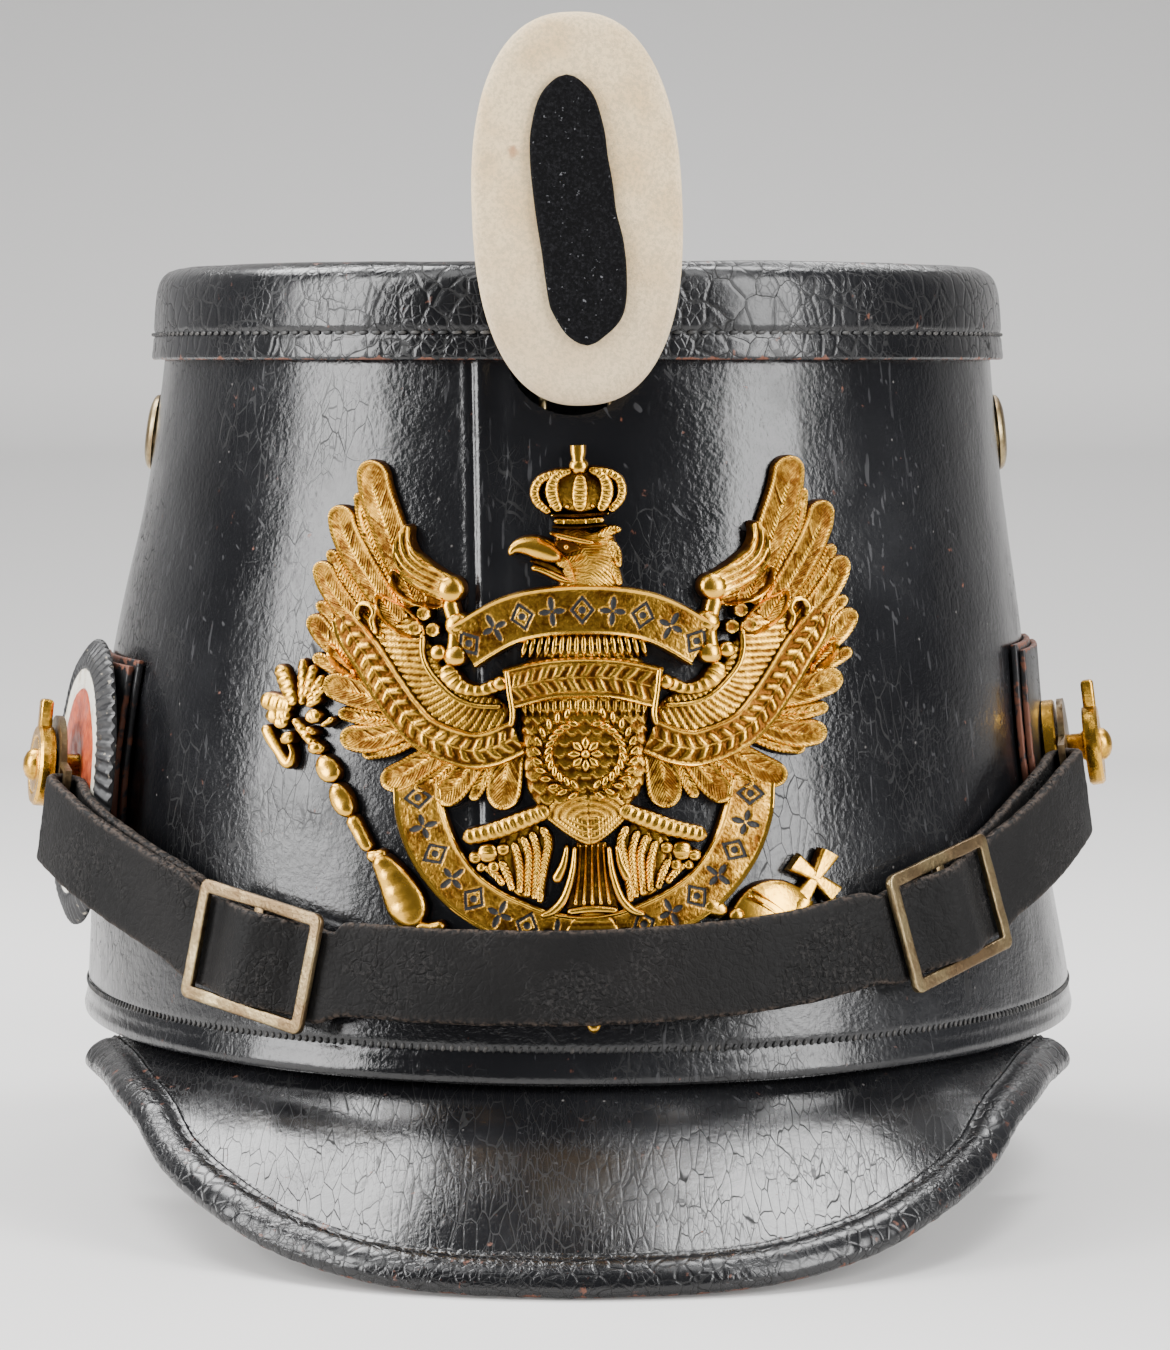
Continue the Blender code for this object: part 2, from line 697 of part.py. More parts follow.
def tube_mesh(name, route, radius, sides=6):
    """A round wire along a route, as a curve that is made a mesh."""
    curve = bpy.data.curves.new(name, "CURVE")
    curve.dimensions = "3D"
    curve.bevel_depth = radius
    curve.bevel_resolution = sides // 2 - 2
    curve.use_fill_caps = True
    spline = curve.splines.new("POLY")
    spline.points.add(len(route) - 1)
    for point, place in zip(spline.points, route):
        point.co = (*place, 1.0)
    holder = bpy.data.objects.new(name + "_curve", curve)
    bpy.context.scene.collection.objects.link(holder)
    bpy.context.view_layer.update()
    graph = bpy.context.evaluated_depsgraph_get()
    mesh = bpy.data.meshes.new_from_object(holder.evaluated_get(graph))
    bpy.data.objects.remove(holder, do_unlink=True)
    bm = bmesh.new()
    bm.from_mesh(mesh)
    bmesh.ops.remove_doubles(bm, verts=bm.verts, dist=0.00001)
    bmesh.ops.recalc_face_normals(bm, faces=bm.faces)
    bm.to_mesh(mesh)
    bm.free()
    return mesh


def build_prong():
    """A bent brass wire behind the badge that pushes down through the notch."""
    half = PRONG_HALF_SPAN
    leg = [
        (half, -0.0918, 0.1526),
        (half, -0.0916, 0.1500),
        (half, -0.0902, 0.1480),
        (half, -0.0872, 0.1476),
        (half, -0.0866, 0.1450),
        (half, -0.0883, 0.1380),
        (half * 0.7, -0.0895, 0.1320),
    ]
    other = [(-x, y, z) for x, y, z in reversed(leg)]
    mesh = tube_mesh("badge_prong", leg + other, PRONG_RADIUS)
    add_part("badge_prong", mesh, "aged_brass")


# ---------------------------------------------------------------- side fittings
def side_frame(angle, height):
    """A frame on the wall: Z outward along the normal, Y up the wall."""
    origin = wall_point(angle, height)
    outward = wall_normal(angle, height)
    up = (Vector((0, 0, 1)) - outward * outward.z).normalized()
    side = up.cross(outward)
    matrix = Matrix((side, up, outward)).transposed().to_4x4()
    matrix.translation = origin
    return matrix


def post_angle(post):
    _, _, front, _ = spaced(BODY_SECTIONS, post["height"])
    return post["side"] * math.acos(post["ahead"] / front)


def post_frame(post):
    return side_frame(post_angle(post), post["height"])


def build_post(label, post):
    drum_top = DRUM_FOOT + post["drum"]
    head_top = HEAD_FOOT + HEAD_THICK
    edge = 0.0006
    profile = [(0.0, head_top + DOME_RISE)]
    for degrees in (45, 90):
        turn = math.radians(degrees)
        profile.append((DOME_RADIUS * math.sin(turn), head_top + DOME_RISE * math.cos(turn)))
    profile += [
        (HEAD_RADIUS - edge, head_top),
        (HEAD_RADIUS, head_top - edge),
        (HEAD_RADIUS, HEAD_FOOT),
        (NECK_RADIUS, HEAD_FOOT),
        (NECK_RADIUS, drum_top),
        (DRUM_RADIUS, drum_top),
        (DRUM_RADIUS, DRUM_FOOT),
        (SHANK_RADIUS, DRUM_FOOT),
        (SHANK_RADIUS, -BODY_WALL - NUT_THICK - 0.0014),
        (0.0, -BODY_WALL - NUT_THICK - 0.0014),
    ]
    item = add_turned("side_post_" + label, profile, "gilt_brass", post_frame(post))
    tab_place = (0.0, HEAD_RADIUS + TAB_SIZE[1] / 2 - 0.0012, HEAD_FOOT + 0.0016)
    tab = add_cutter("tab_" + label, box_mesh("tab_" + label, TAB_SIZE, tab_place), post_frame(post))
    round_off = tab.modifiers.new("round", "BEVEL")
    round_off.width = 0.0008
    round_off.segments = 1
    add_boolean(item, "UNION", tab)


def build_nut(label, post):
    top = -BODY_WALL - 0.0010
    hole = SHANK_RADIUS + CLEARANCE
    profile = [(hole, top), (NUT_RADIUS, top), (NUT_RADIUS, top - NUT_THICK),
               (hole, top - NUT_THICK)]
    add_turned("post_nut_" + label, profile, "aged_brass", post_frame(post), 12, True)


def build_patch(label, post):
    """Two layers of leather between the post and the body, bent to the wall."""
    centre = post_angle(post)
    _, _, front, _ = spaced(BODY_SECTIONS, post["height"])
    for layer, shrink in (("inner", 0.0), ("outer", PATCH_STEP)):
        off = CLEARANCE if layer == "inner" else 2 * CLEARANCE + PATCH_WALL
        half_turn = (PATCH_HALF_WIDTH - shrink) / front
        half_height = PATCH_HALF_HEIGHT - shrink
        rows = []
        foot = post["height"] - half_height
        top = post["height"] + half_height
        for height, corner in ((foot, 0.93), (foot + PATCH_CORNER, 1.0), (WALL_BEND_HEIGHT, 1.0),
                               (top - PATCH_CORNER, 1.0), (top, 0.93)):
            rows.append([wall_point(centre + half_turn * corner * (j / 2 - 1), height, off)
                         for j in range(5)])
        name = "side_patch_" + layer + "_" + label
        patch = add_part(name, surface_mesh(name, rows, False), "edge_leather")
        add_solidify(patch, PATCH_WALL, 1.0)
        cutter_name = "patch_hole_" + layer + "_" + label
        hole = cylinder_mesh(cutter_name, HOLE_RADIUS, 0.030, sides=12)
        add_boolean(patch, "DIFFERENCE", add_cutter(cutter_name, hole, post_frame(post)))


def build_cockade():
    """Stamped tin disc hung on the left post: a flat face and a rim that falls back."""
    post = POSTS["left"]
    foot = DRUM_FOOT + post["drum"] + CLEARANCE
    top = foot + COCKADE_WALL
    profile = [
        (COCKADE_HOLE, top),
        (COCKADE_FLAT, top),
        (COCKADE_RADIUS - 0.0006, top - COCKADE_FALL + 0.0002),
        (COCKADE_RADIUS, top - COCKADE_FALL - 0.0004),
        (COCKADE_RADIUS - 0.0004, foot - COCKADE_FALL),
        (COCKADE_FLAT, foot),
        (COCKADE_HOLE, foot),
    ]
    matrix = post_frame(post) @ Matrix.Translation((0.0, -COCKADE_DROP, 0.0))
    add_turned("cockade", profile, "painted_tin", matrix, 30, True)


def build_lug(label, post, bar_centre, strap_direction):
    """Brass plate on the post's neck; the strap turns round its front bar."""
    frame = post_frame(post)
    outward = frame.col[2].to_3d()
    origin = frame.translation + outward * post["lug"]
    away = -(strap_direction - outward * strap_direction.dot(outward)).normalized()
    across = outward.cross(away)
    matrix = Matrix((away, across, outward)).transposed().to_4x4()
    matrix.translation = origin
    bar = matrix.inverted() @ bar_centre
    name = "strap_lug_" + label
    lug = add_part(name, cylinder_mesh(name, LUG_EYE_RADIUS, LUG_THICK, 20), "aged_brass", matrix)
    half_window = STRAP_WIDTH / 2 + 0.0007
    far = bar.x - LUG_BAR / 2
    width = -0.0050 - far
    plate = box_mesh("lug_plate_" + label, (width, 2 * (half_window + LUG_ARM), LUG_THICK),
                     (far + width / 2, bar.y, 0.0))
    add_boolean(lug, "UNION", add_cutter("lug_plate_" + label, plate, matrix))
    window = box_mesh("lug_window_" + label, (LUG_WINDOW, 2 * half_window, 0.010),
                      (bar.x + LUG_BAR / 2 + LUG_WINDOW / 2, bar.y, 0.0))
    add_boolean(lug, "DIFFERENCE", add_cutter("lug_window_" + label, window, matrix))
    eye = cylinder_mesh("lug_eye_" + label, NECK_RADIUS + CLEARANCE, 0.010, 14)
    add_boolean(lug, "DIFFERENCE", add_cutter("lug_eye_" + label, eye, matrix))


def build_vent(label, side):
    """Brass grommet that airs the hat, high on each side."""
    rim_top = VENT_RIM + CLEARANCE
    foot = -BODY_WALL - 0.0010
    profile = [
        (VENT_HOLE, rim_top),
        (VENT_BARREL, rim_top + 0.0003),
        (VENT_RADIUS - 0.0006, rim_top),
        (VENT_RADIUS, rim_top - 0.0006),
        (VENT_RADIUS, CLEARANCE),
        (VENT_BARREL, CLEARANCE),
        (VENT_BARREL, foot),
        (VENT_HOLE, foot),
    ]
    matrix = side_frame(side * math.pi / 2, VENT_HEIGHT)
    add_turned("vent_" + label, profile, "aged_brass", matrix, 16, True)


# ---------------------------------------------------------------- chin strap
def strap_heights():
    """Every row of the strap's route, as angle from the front and height, left to right."""
    rows = [(-angle, height) for angle, height, _, _ in STRAP_LEFT]
    rows.append(BUCKLES["left"])
    rows += [(angle, height) for angle, height, _ in STRAP_FRONT]
    rows.append(BUCKLES["right"])
    rows += [(angle, height) for angle, height, _, _ in reversed(STRAP_RIGHT)]
    return rows


def strap_height(angle):
    rows = strap_heights()
    step = 4.0
    near = [spaced(rows, angle + shift)[0] for shift in (-step, 0.0, step)]
    return (near[0] + 2 * near[1] + near[2]) / 4


def strap_frame(angle):
    """Foot of the strap on the wall, outward normal and direction along the strap."""
    height = strap_height(angle)
    point = wall_point(math.radians(angle), height)
    ahead = wall_point(math.radians(angle + 1), strap_height(angle + 1))
    behind = wall_point(math.radians(angle - 1), strap_height(angle - 1))
    return point, wall_normal(math.radians(angle), height), (ahead - behind).normalized()


def strap_station(angle, off):
    """Middle of the strap and its direction across, which stands up the wall."""
    point, outward, along = strap_frame(angle)
    return point + outward * off, outward.cross(along).normalized()


def buckle_stations(label, outer):
    """The strap at a buckle: under the frame's ends and over its centre bar."""
    point, outward, along = strap_frame(BUCKLES[label][0])
    across = outward.cross(along).normalized()
    side = POSTS[label]["side"]
    if outer:
        passes = [(-place, off) for place, off, _ in BUCKLE_PASS]
        passes += [(place, off) for place, off, _ in reversed(BUCKLE_PASS[:-1])]
    else:
        passes = [(side * place, off) for place, _, off in reversed(BUCKLE_PASS)]
    return [(point + along * place + outward * off, across) for place, off in passes]


def turn_stations(label, rows):
    """The strap round the lug's bar, from the inner layer to the outer one."""
    post = POSTS[label]
    side = post["side"]
    frame = post_frame(post)
    outward = frame.col[2].to_3d()
    _, _, along = strap_frame(side * rows[0][0])
    forward = (along - outward * along.dot(outward)).normalized() * -side
    foot, _ = strap_station(side * rows[0][0], 0.0)
    lug_plane = frame.translation + outward * post["lug"]
    centre = foot + outward * (lug_plane - foot).dot(outward)
    across = outward.cross(forward * -side).normalized()
    stations = []
    steps = 6
    for i in range(steps + 1):
        turn = math.pi * i / steps
        place = centre - outward * STRAP_TURN_RADIUS * math.cos(turn)
        place -= forward * STRAP_TURN_RADIUS * math.sin(turn)
        stations.append((place, across))
    return stations, centre, forward


def strap_half(label, rows):
    """Stations from the buried end at the buckle, round the lug and back to the buckle."""
    side = POSTS[label]["side"]
    inner = buckle_stations(label, False)
    inner += [strap_station(side * row[0], row[2]) for row in reversed(rows[1:])]
    turn, centre, forward = turn_stations(label, rows)
    outer = [strap_station(side * row[0], row[3]) for row in rows[1:]]
    return inner + turn + outer, centre, forward


def build_strap():
    left, left_bar, left_forward = strap_half("left", STRAP_LEFT)
    right, right_bar, right_forward = strap_half("right", STRAP_RIGHT)
    stations = left + buckle_stations("left", True)
    stations += [strap_station(angle, off) for angle, _, off in STRAP_FRONT]
    stations += buckle_stations("right", True) + list(reversed(right))
    sections = []
    for i, (middle, wide) in enumerate(stations):
        ahead = stations[min(i + 1, len(stations) - 1)][0] - stations[max(i - 1, 0)][0]
        thick = ahead.cross(wide).normalized()
        wide = wide * STRAP_WIDTH / 2
        thick = thick * STRAP_THICK / 2
        sections.append([middle + wide + thick, middle - wide + thick,
                         middle - wide - thick, middle + wide - thick])
    add_part("chin_strap", lofted_mesh("chin_strap", sections), "strap_leather")
    build_lug("left", POSTS["left"], left_bar, left_forward)
    build_lug("right", POSTS["right"], right_bar, right_forward)


def build_buckle(label):
    """Rectangular brass frame with a centre bar, flat on the strap."""
    angle, _ = BUCKLES[label]
    point, outward, along = strap_frame(angle)
    matrix = Matrix((along, outward.cross(along), outward)).transposed().to_4x4()
    matrix.translation = point + outward * BUCKLE_STAND
    name = "buckle_" + label
    size = (BUCKLE_WIDTH, BUCKLE_HEIGHT, BUCKLE_THICK)
    buckle = add_part(name, box_mesh(name, size), "aged_brass", matrix)
    corner = buckle.modifiers.new("corners", "BEVEL")
    corner.width = 0.0004
    corner.segments = 1
    window_width = (BUCKLE_WIDTH - 3 * BUCKLE_BAR) / 2
    window_height = BUCKLE_HEIGHT - 2 * BUCKLE_BAR
    for side in (-1, 1):
        cutter_name = "buckle_window_" + label + ("_a" if side < 0 else "_b")
        place = (side * (BUCKLE_BAR + window_width) / 2, 0.0, 0.0)
        window = box_mesh(cutter_name, (window_width, window_height, 0.010), place)
        add_boolean(buckle, "DIFFERENCE", add_cutter(cutter_name, window, matrix))


# ---------------------------------------------------------------- brass plate
def plate_point(across, height, depth):
    """A point of the plate, from its own axes to the bowed front of the hat."""
    turned = across * math.cos(PLATE_TILT) - (height - PLATE_TURN_HEIGHT) * math.sin(PLATE_TILT)
    raised = across * math.sin(PLATE_TILT) + (height - PLATE_TURN_HEIGHT) * math.cos(PLATE_TILT)
    return front_point(PLATE_MIDDLE + turned, PLATE_TURN_HEIGHT + raised, PLATE_BACK + depth)


def add_leaf(bm, rows, back, edge, ridge, mirrored=False):
    """A raised strip along rows of across, height and half width.

    It rises straight to its edge, where it has one, and then to its ridge, where it has one.
    """
    if mirrored:
        rows = [(-across, height, half) for across, height, half in rows]
    sections = []
    for i, (across, height, half) in enumerate(rows):
        before = rows[max(i - 1, 0)]
        after = rows[min(i + 1, len(rows) - 1)]
        run = Vector((after[0] - before[0], after[1] - before[1])).normalized()
        side = Vector((-run.y, run.x)) * half
        one = (across - side.x, height - side.y)
        two = (across + side.x, height + side.y)
        section = [plate_point(*one, back)]
        if edge is not None:
            section.append(plate_point(*one, edge))
        if ridge is not None:
            section.append(plate_point(across, height, ridge))
        if edge is not None:
            section.append(plate_point(*two, edge))
        section.append(plate_point(*two, back))
        sections.append(section)
    add_loft(bm, sections)


def feather_rows(tip_across, tip_height, root_across, root_height, bow, half):
    """A feather's rows: a bowed middle line with a rounded tip."""
    root = Vector((root_across, root_height))
    tip = Vector((tip_across, tip_height))
    run = tip - root
    side = Vector((-run.y, run.x)).normalized()
    rows = []
    for share, width in ((0.0, 0.80), (0.50, 1.0), (0.90, 0.85), (1.0, 0.30)):
        place = root + run * share + side * bow * 4 * share * (1 - share)
        rows.append((place.x, place.y, half * width))
    return rows


def whole_rows(half_rows):
    """Both halves of a piece that crosses the plate's middle line."""
    mirrored = [(-across, height, half) for across, height, half in reversed(half_rows[1:])]
    return mirrored + list(half_rows)


def knob_rows(across, height, radius):
    return [(across, height + radius * rise, radius * width)
            for rise, width in ((-0.95, 0.35), (-0.45, 0.9), (0.45, 0.9), (0.95, 0.35))]


def bar_rows(from_across, from_height, to_across, to_height, half):
    return [(from_across, from_height, half * 1.1), (to_across, to_height, half * 0.8)]


def plate_pieces():
    """Each raised piece of the plate as rows, back, edge and ridge depth, and if it is twinned."""
    pieces = [
        (TORSO, 0.00050, 0.0017, 0.0034, False),
        (NECK, 0.00030, 0.0018, 0.0036, False),
        (HEAD, 0.00040, 0.0020, 0.0038, False),
        (BEAK, 0.00020, 0.0018, 0.0030, False),
        (LOWER_BEAK, 0.00010, 0.0014, None, False),
        (CROWN_BASE, 0.00020, 0.0026, None, False),
        (CROWN_DOME, 0.00035, 0.0016, 0.0032, False),
        (CROWN_TOP, 0.00025, 0.0018, 0.0030, False),
        (CROWN_CROSS, 0.00030, 0.0017, None, False),
        (whole_rows(TOP_SCROLL_HALF), 0.00030, 0.0026, None, False),
        (whole_rows(CROSS_BAND_HALF), 0.00040, 0.0033, None, False),
        (whole_rows(LOWER_RIBBON_HALF), 0.00025, 0.0020, None, False),
        (TAIL, 0.00040, 0.0014, 0.0023, False),
        (SCEPTRE, 0.00015, 0.0010, 0.0022, False),
        (knob_rows(*ORB_CENTRE, ORB_RADIUS), 0.00035, 0.0014, 0.0023, False),
        (ORB_STALK, 0.00015, 0.0014, None, False),
        (WING_FIELD, 0.00035, 0.0012, None, True),
        (WING_RIBBON, 0.00025, 0.0026, None, True),
        (INNER_SCROLL, 0.00015, 0.0026, None, True),
        (SHOULDER_SHAFT, 0.00040, 0.0030, None, True),
        (TREFOIL, 0.00020, 0.0025, None, True),
        (THIRD_LEAF, 0.00050, None, 0.0026, True),
        (SECOND_LEAF, 0.00025, 0.0020, 0.0030, True),
        (SHOULDER_LEAF, 0.00030, 0.0022, 0.0035, True),
        (LEG, 0.00040, 0.0014, 0.0026, True),
        (LEG_FAN, 0.00010, 0.0010, 0.0019, True),
    ]
    for i, knob in enumerate(KNOBS):
        pieces.append((knob_rows(*knob), 0.00010 + i * 0.0001, 0.0022, 0.0040, True))
    for i, row in enumerate(FEATHERS):
        pieces.append((feather_rows(*row), 0.00050, None, 0.0021 + 0.0003 * (i % 2), True))
    for row in BACK_FEATHERS:
        pieces.append((feather_rows(*row)[1:], 0.00055, None, 0.0016, True))
    for i, row in enumerate(SCEPTRE_WINGS):
        pieces.append((bar_rows(*row), 0.00050, None, 0.0018 + 0.0002 * i, False))
    for i, row in enumerate(ORB_CROSS):
        pieces.append((bar_rows(*row), 0.00030 + 0.0001 * i, 0.0016, None, False))
    return pieces


def build_plate():
    """The pieces of the relief are fused into one stamped plate."""
    relief = bpy.data.collections.new("plate_relief")
    CUTTERS.children.link(relief)
    first = None
    for rows, back, edge, ridge, twinned in plate_pieces():
        for mirrored in ((False, True) if twinned else (False,)):
            bm = bmesh.new()
            add_leaf(bm, rows, back, edge, ridge, mirrored)
            mesh = mesh_from("relief", bm)
            if first is None:
                first = add_part("eagle_plate", mesh, "gilt_brass")
                continue
            item = bpy.data.objects.new("relief", mesh)
            relief.objects.link(item)
            item.parent = STAND
            item.hide_render = True
            item.display_type = "WIRE"
    fuse = first.modifiers.new("fuse", "BOOLEAN")
    fuse.operation = "UNION"
    fuse.operand_type = "COLLECTION"
    fuse.collection = relief


def shade_round_pieces():
    for item in PARTS.objects:
        if item.type != "MESH":
            continue
        item.data.shade_smooth()
        item.data.set_sharp_from_angle(angle=math.radians(35))


clear_scene()
PARTS = make_collection("Shako")
CUTTERS = make_collection("Cutters")
STAND = bpy.data.objects.new("shako_axis", None)
PARTS.objects.link(STAND)
STAND.location = (0.0, AXIS_Y, 0.0)

build_body()
build_lid()
build_visor("front_visor", FRONT_VISOR_ROWS, 0.0, VISOR_SHORT, 22)
build_visor("rear_visor", REAR_VISOR_ROWS, math.pi, 0.0, 14)
build_trim()
build_badge()
build_prong()
for post_label, post_values in POSTS.items():
    build_post(post_label, post_values)
    build_nut(post_label, post_values)
    build_patch(post_label, post_values)
build_cockade()
build_vent("left", -1)
build_vent("right", 1)
build_strap()
build_buckle("left")
build_buckle("right")
build_plate()
shade_round_pieces()
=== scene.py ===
"""A black leather shako in a plain studio. Metres, +Z up; the plate faces -Y."""

import math
import bpy
from mathutils import Matrix, Vector, noise


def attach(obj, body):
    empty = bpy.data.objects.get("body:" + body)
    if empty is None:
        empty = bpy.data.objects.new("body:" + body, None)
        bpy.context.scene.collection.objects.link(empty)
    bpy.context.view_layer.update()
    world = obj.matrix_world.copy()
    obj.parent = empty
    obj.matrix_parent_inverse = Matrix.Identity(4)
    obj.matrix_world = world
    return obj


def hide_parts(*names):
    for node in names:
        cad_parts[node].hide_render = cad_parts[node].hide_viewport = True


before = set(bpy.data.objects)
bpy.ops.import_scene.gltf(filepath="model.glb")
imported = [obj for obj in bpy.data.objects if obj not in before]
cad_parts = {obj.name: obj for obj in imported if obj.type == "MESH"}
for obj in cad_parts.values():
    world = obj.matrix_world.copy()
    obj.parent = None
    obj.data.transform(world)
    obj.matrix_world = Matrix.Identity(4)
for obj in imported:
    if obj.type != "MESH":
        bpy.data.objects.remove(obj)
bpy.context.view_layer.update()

# ---------------------------------------------------------------- camera, floor and lights
# The camera looks a little down at the hat's front from 0.9 m. Two tall soft boxes at the sides
# give the lacquer its upright highlights, and smaller ones above light the visor and the lid.
# Pale paper is the floor and is drawn up behind the hat.
CAMERA_PLACE = (0.00135, -0.9115, 0.1536)
CAMERA_DOWN = math.radians(3.79)
CAMERA_LENS = 126.8
PAPER_COLOUR = (0.62, 0.61, 0.60, 1.0)
PAPER_GLOW = 0.24
PAPER_WIDTH = 7.0
PAPER_LINE = ((-3.0, 0.0), (0.9, 0.0), (1.35, 0.12), (1.68, 0.45), (1.80, 0.90), (1.80, 3.2))
ROOM_LIGHT = (0.11, 0.115, 0.125, 1.0)
SOFT_BOXES = (  # name, place, aimed at, width, height, power
    ("left_box", (-1.00, -0.38, 0.50), (0.0, 0.0, 0.10), 0.56, 0.84, 25.0),
    ("right_box", (0.88, -0.62, 0.50), (0.0, 0.0, 0.10), 0.46, 0.84, 20.0),
    ("top_left_box", (-0.46, -0.42, 1.05), (0.0, -0.1, 0.04), 0.36, 0.60, 3.5),
    ("top_right_box", (0.42, -0.40, 1.08), (0.0, -0.1, 0.04), 0.28, 0.60, 3.0),
    ("visor_left_box", (-0.50, 0.26, 0.90), (-0.04, -0.12, 0.02), 0.44, 0.52, 14.0),
    ("visor_right_box", (0.34, 0.12, 0.98), (0.03, -0.12, 0.02), 0.24, 0.44, 8.0),
    ("rear_box", (0.35, 1.00, 1.00), (0.0, 0.0, 0.10), 0.50, 0.50, 4.0),
)


def socket(item, name, value):
    """Sets a node's input, or links it where the value is another node's output."""
    if isinstance(value, bpy.types.NodeSocket):
        item.id_data.links.new(value, item.inputs[name])
    else:
        item.inputs[name].default_value = value


def node(tree, kind, inputs=None, **settings):
    item = tree.nodes.new("ShaderNode" + kind)
    for name, value in settings.items():
        setattr(item, name, value)
    for name, value in (inputs or {}).items():
        socket(item, name, value)
    return item


def new_material(name):
    """A material with nodes: returns it, its tree and its shader."""
    material = bpy.data.materials.new(name)
    material.use_nodes = True
    return material, material.node_tree, material.node_tree.nodes["Principled BSDF"]


def soft_box(name, place, target, width, height, power):
    bpy.ops.object.light_add(type="AREA", location=place)
    light = bpy.context.object
    light.name = name
    light.data.shape = "RECTANGLE"
    light.data.size = width
    light.data.size_y = height
    light.data.energy = power
    light.rotation_euler = (Vector(target) - Vector(place)).to_track_quat("-Z", "Y").to_euler()


for row in SOFT_BOXES:
    soft_box(*row)

bpy.ops.object.camera_add(location=CAMERA_PLACE, rotation=(math.pi / 2 - CAMERA_DOWN, 0.0, 0.0))
camera = bpy.context.object
camera.data.lens = CAMERA_LENS
bpy.context.scene.camera = camera

room = bpy.data.worlds.new("room")
room.use_nodes = True
socket(room.node_tree.nodes["Background"], "Color", ROOM_LIGHT)
bpy.context.scene.world = room

bpy.ops.mesh.primitive_grid_add(x_subdivisions=1, y_subdivisions=60, size=1.0)
floor = bpy.context.object
floor.name = floor.data.name = "paper_floor"
for vert in floor.data.vertices:
    step = (vert.co.y + 0.5) * (len(PAPER_LINE) - 1)
    i = min(int(step), len(PAPER_LINE) - 2)
    along, height = Vector(PAPER_LINE[i]).lerp(Vector(PAPER_LINE[i + 1]), step - i)
    vert.co = (vert.co.x * PAPER_WIDTH, along, height)
bpy.ops.object.shade_smooth()
paper, tree, shader = new_material("pale_paper")
socket(shader, "Base Color", PAPER_COLOUR)
socket(shader, "Roughness", 0.8)
socket(shader, "Emission Color", PAPER_COLOUR)
socket(shader, "Emission Strength", PAPER_GLOW)
floor.data.materials.append(paper)

# ---------------------------------------------------------------- body
# The tapered body is one wall of thick leather, wet-moulded, blackened and lacquered. A seam
# welt runs down it left of the plate, the top edge is scooped out behind the field badge, and
# a row of stitches above the foot takes the visors.
AXIS_Y = 0.0065
BODY_ROWS = (  # height, reach to the left, right, front and rear
    (0.0300, 0.0949, 0.0949, 0.1109, 0.1109),
    (0.0360, 0.0945, 0.0945, 0.1100, 0.1100),
    (0.0600, 0.0934, 0.0903, 0.1065, 0.1072),
    (0.0800, 0.0920, 0.0870, 0.1032, 0.1044),
    (0.1020, 0.0884, 0.0850, 0.0993, 0.1012),
    (0.1310, 0.0823, 0.0812, 0.0940, 0.0970),
    (0.1670, 0.0779, 0.0779, 0.0879, 0.0920),
)
BODY_WALL = 0.0029
BODY_COLUMNS = (  # share of the columns, angle in degrees: they crowd at the welt
    (0.00, -180.0),
    (0.38, -19.0),
    (0.56, -7.0),
    (1.00, 180.0),
)
BODY_LEVELS = ((0.00, 0.0300), (0.20, 0.0400), (1.00, 0.1670))  # share of the rows, height
WELT_LINE = ((0.0600, -0.0150), (0.1120, -0.0161), (0.1670, -0.0173))  # height, place across
WELT_RIDGES = (  # off the line, half width, rise
    (-0.0026, 0.0008, 0.00018),
    (-0.0015, 0.0005, -0.00024),
    (0.0000, 0.0013, 0.00055),
    (0.0034, 0.0016, -0.00018),
)
FOOT_GROOVE = (0.0352, 0.0007, -0.00030)  # height, half width, rise
FOOT_LIP = (0.0312, 0.0012, 0.00035)
NOTCH_CENTRE = (-0.0007, -0.0835, 0.1558)
NOTCH_HALF_WIDTH = 0.0118
NOTCH_DEPTH = 0.0118
VENT_HEIGHT = 0.1397
VENT_RADIUS = 0.0052
LACQUER_DEEP = (0.0045, 0.0045, 0.0052)
LACQUER_THIN = (0.0115, 0.0118, 0.0132)
CRACK_BLACK = (0.0012, 0.0010, 0.0009)
SCRATCH_GREY = (0.060, 0.060, 0.064)
DUST_GREY = (0.20, 0.19, 0.18)
BARE_LEATHER = (0.125, 0.042, 0.022)


def smooth(rows, position):
    """Values of a table at a position in its first column, on a curve through its rows."""
    position = min(max(position, rows[0][0]), rows[-1][0])
    i = next(k for k in range(1, len(rows)) if position <= rows[k][0]) - 1
    low, high = rows[i], rows[i + 1]
    before, after = rows[max(i - 1, 0)], rows[min(i + 2, len(rows) - 1)]
    span = high[0] - low[0]
    t = (position - low[0]) / span
    values = []
    for k in range(1, len(low)):
        leave = (high[k] - before[k]) / (high[0] - before[0]) * span
        arrive = (after[k] - low[k]) / (after[0] - low[0]) * span
        values.append(low[k] * (1 + 2 * t) * (1 - t) ** 2 + high[k] * t * t * (3 - 2 * t)
                      + leave * t * (1 - t) ** 2 - arrive * t * t * (1 - t))
    return values


def straight(rows, position):
    """Values of a table at a position in its first column, joined by straight runs."""
    position = min(max(position, rows[0][0]), rows[-1][0])
    for low, high in zip(rows, rows[1:]):
        if position <= high[0]:
            share = (position - low[0]) / (high[0] - low[0])
            return [a + (b - a) * share for a, b in zip(low[1:], high[1:])]


def wall(angle, height, off=0.0):
    """A point over the body's outer face; the angle runs from the front towards +X."""
    left, right, front, rear = smooth(BODY_ROWS, height)
    sine, cosine = math.sin(angle), math.cos(angle)
    across = right if sine > 0 else left
    along = front if cosine > 0 else rear
    outward = Vector((sine / across, -cosine / along, 0.0)).normalized()
    return Vector((across * sine, AXIS_Y - along * cosine, height)) + outward * off


def ridge(distance, half_width, rise):
    return rise * math.exp(-(distance / half_width) ** 2)


def waves(point, fine=1.0):
    """The slow unevenness of moulded leather, in metres."""
    return 0.00035 * noise.noise(point * 24) + 0.00010 * fine * noise.noise(point * 95)


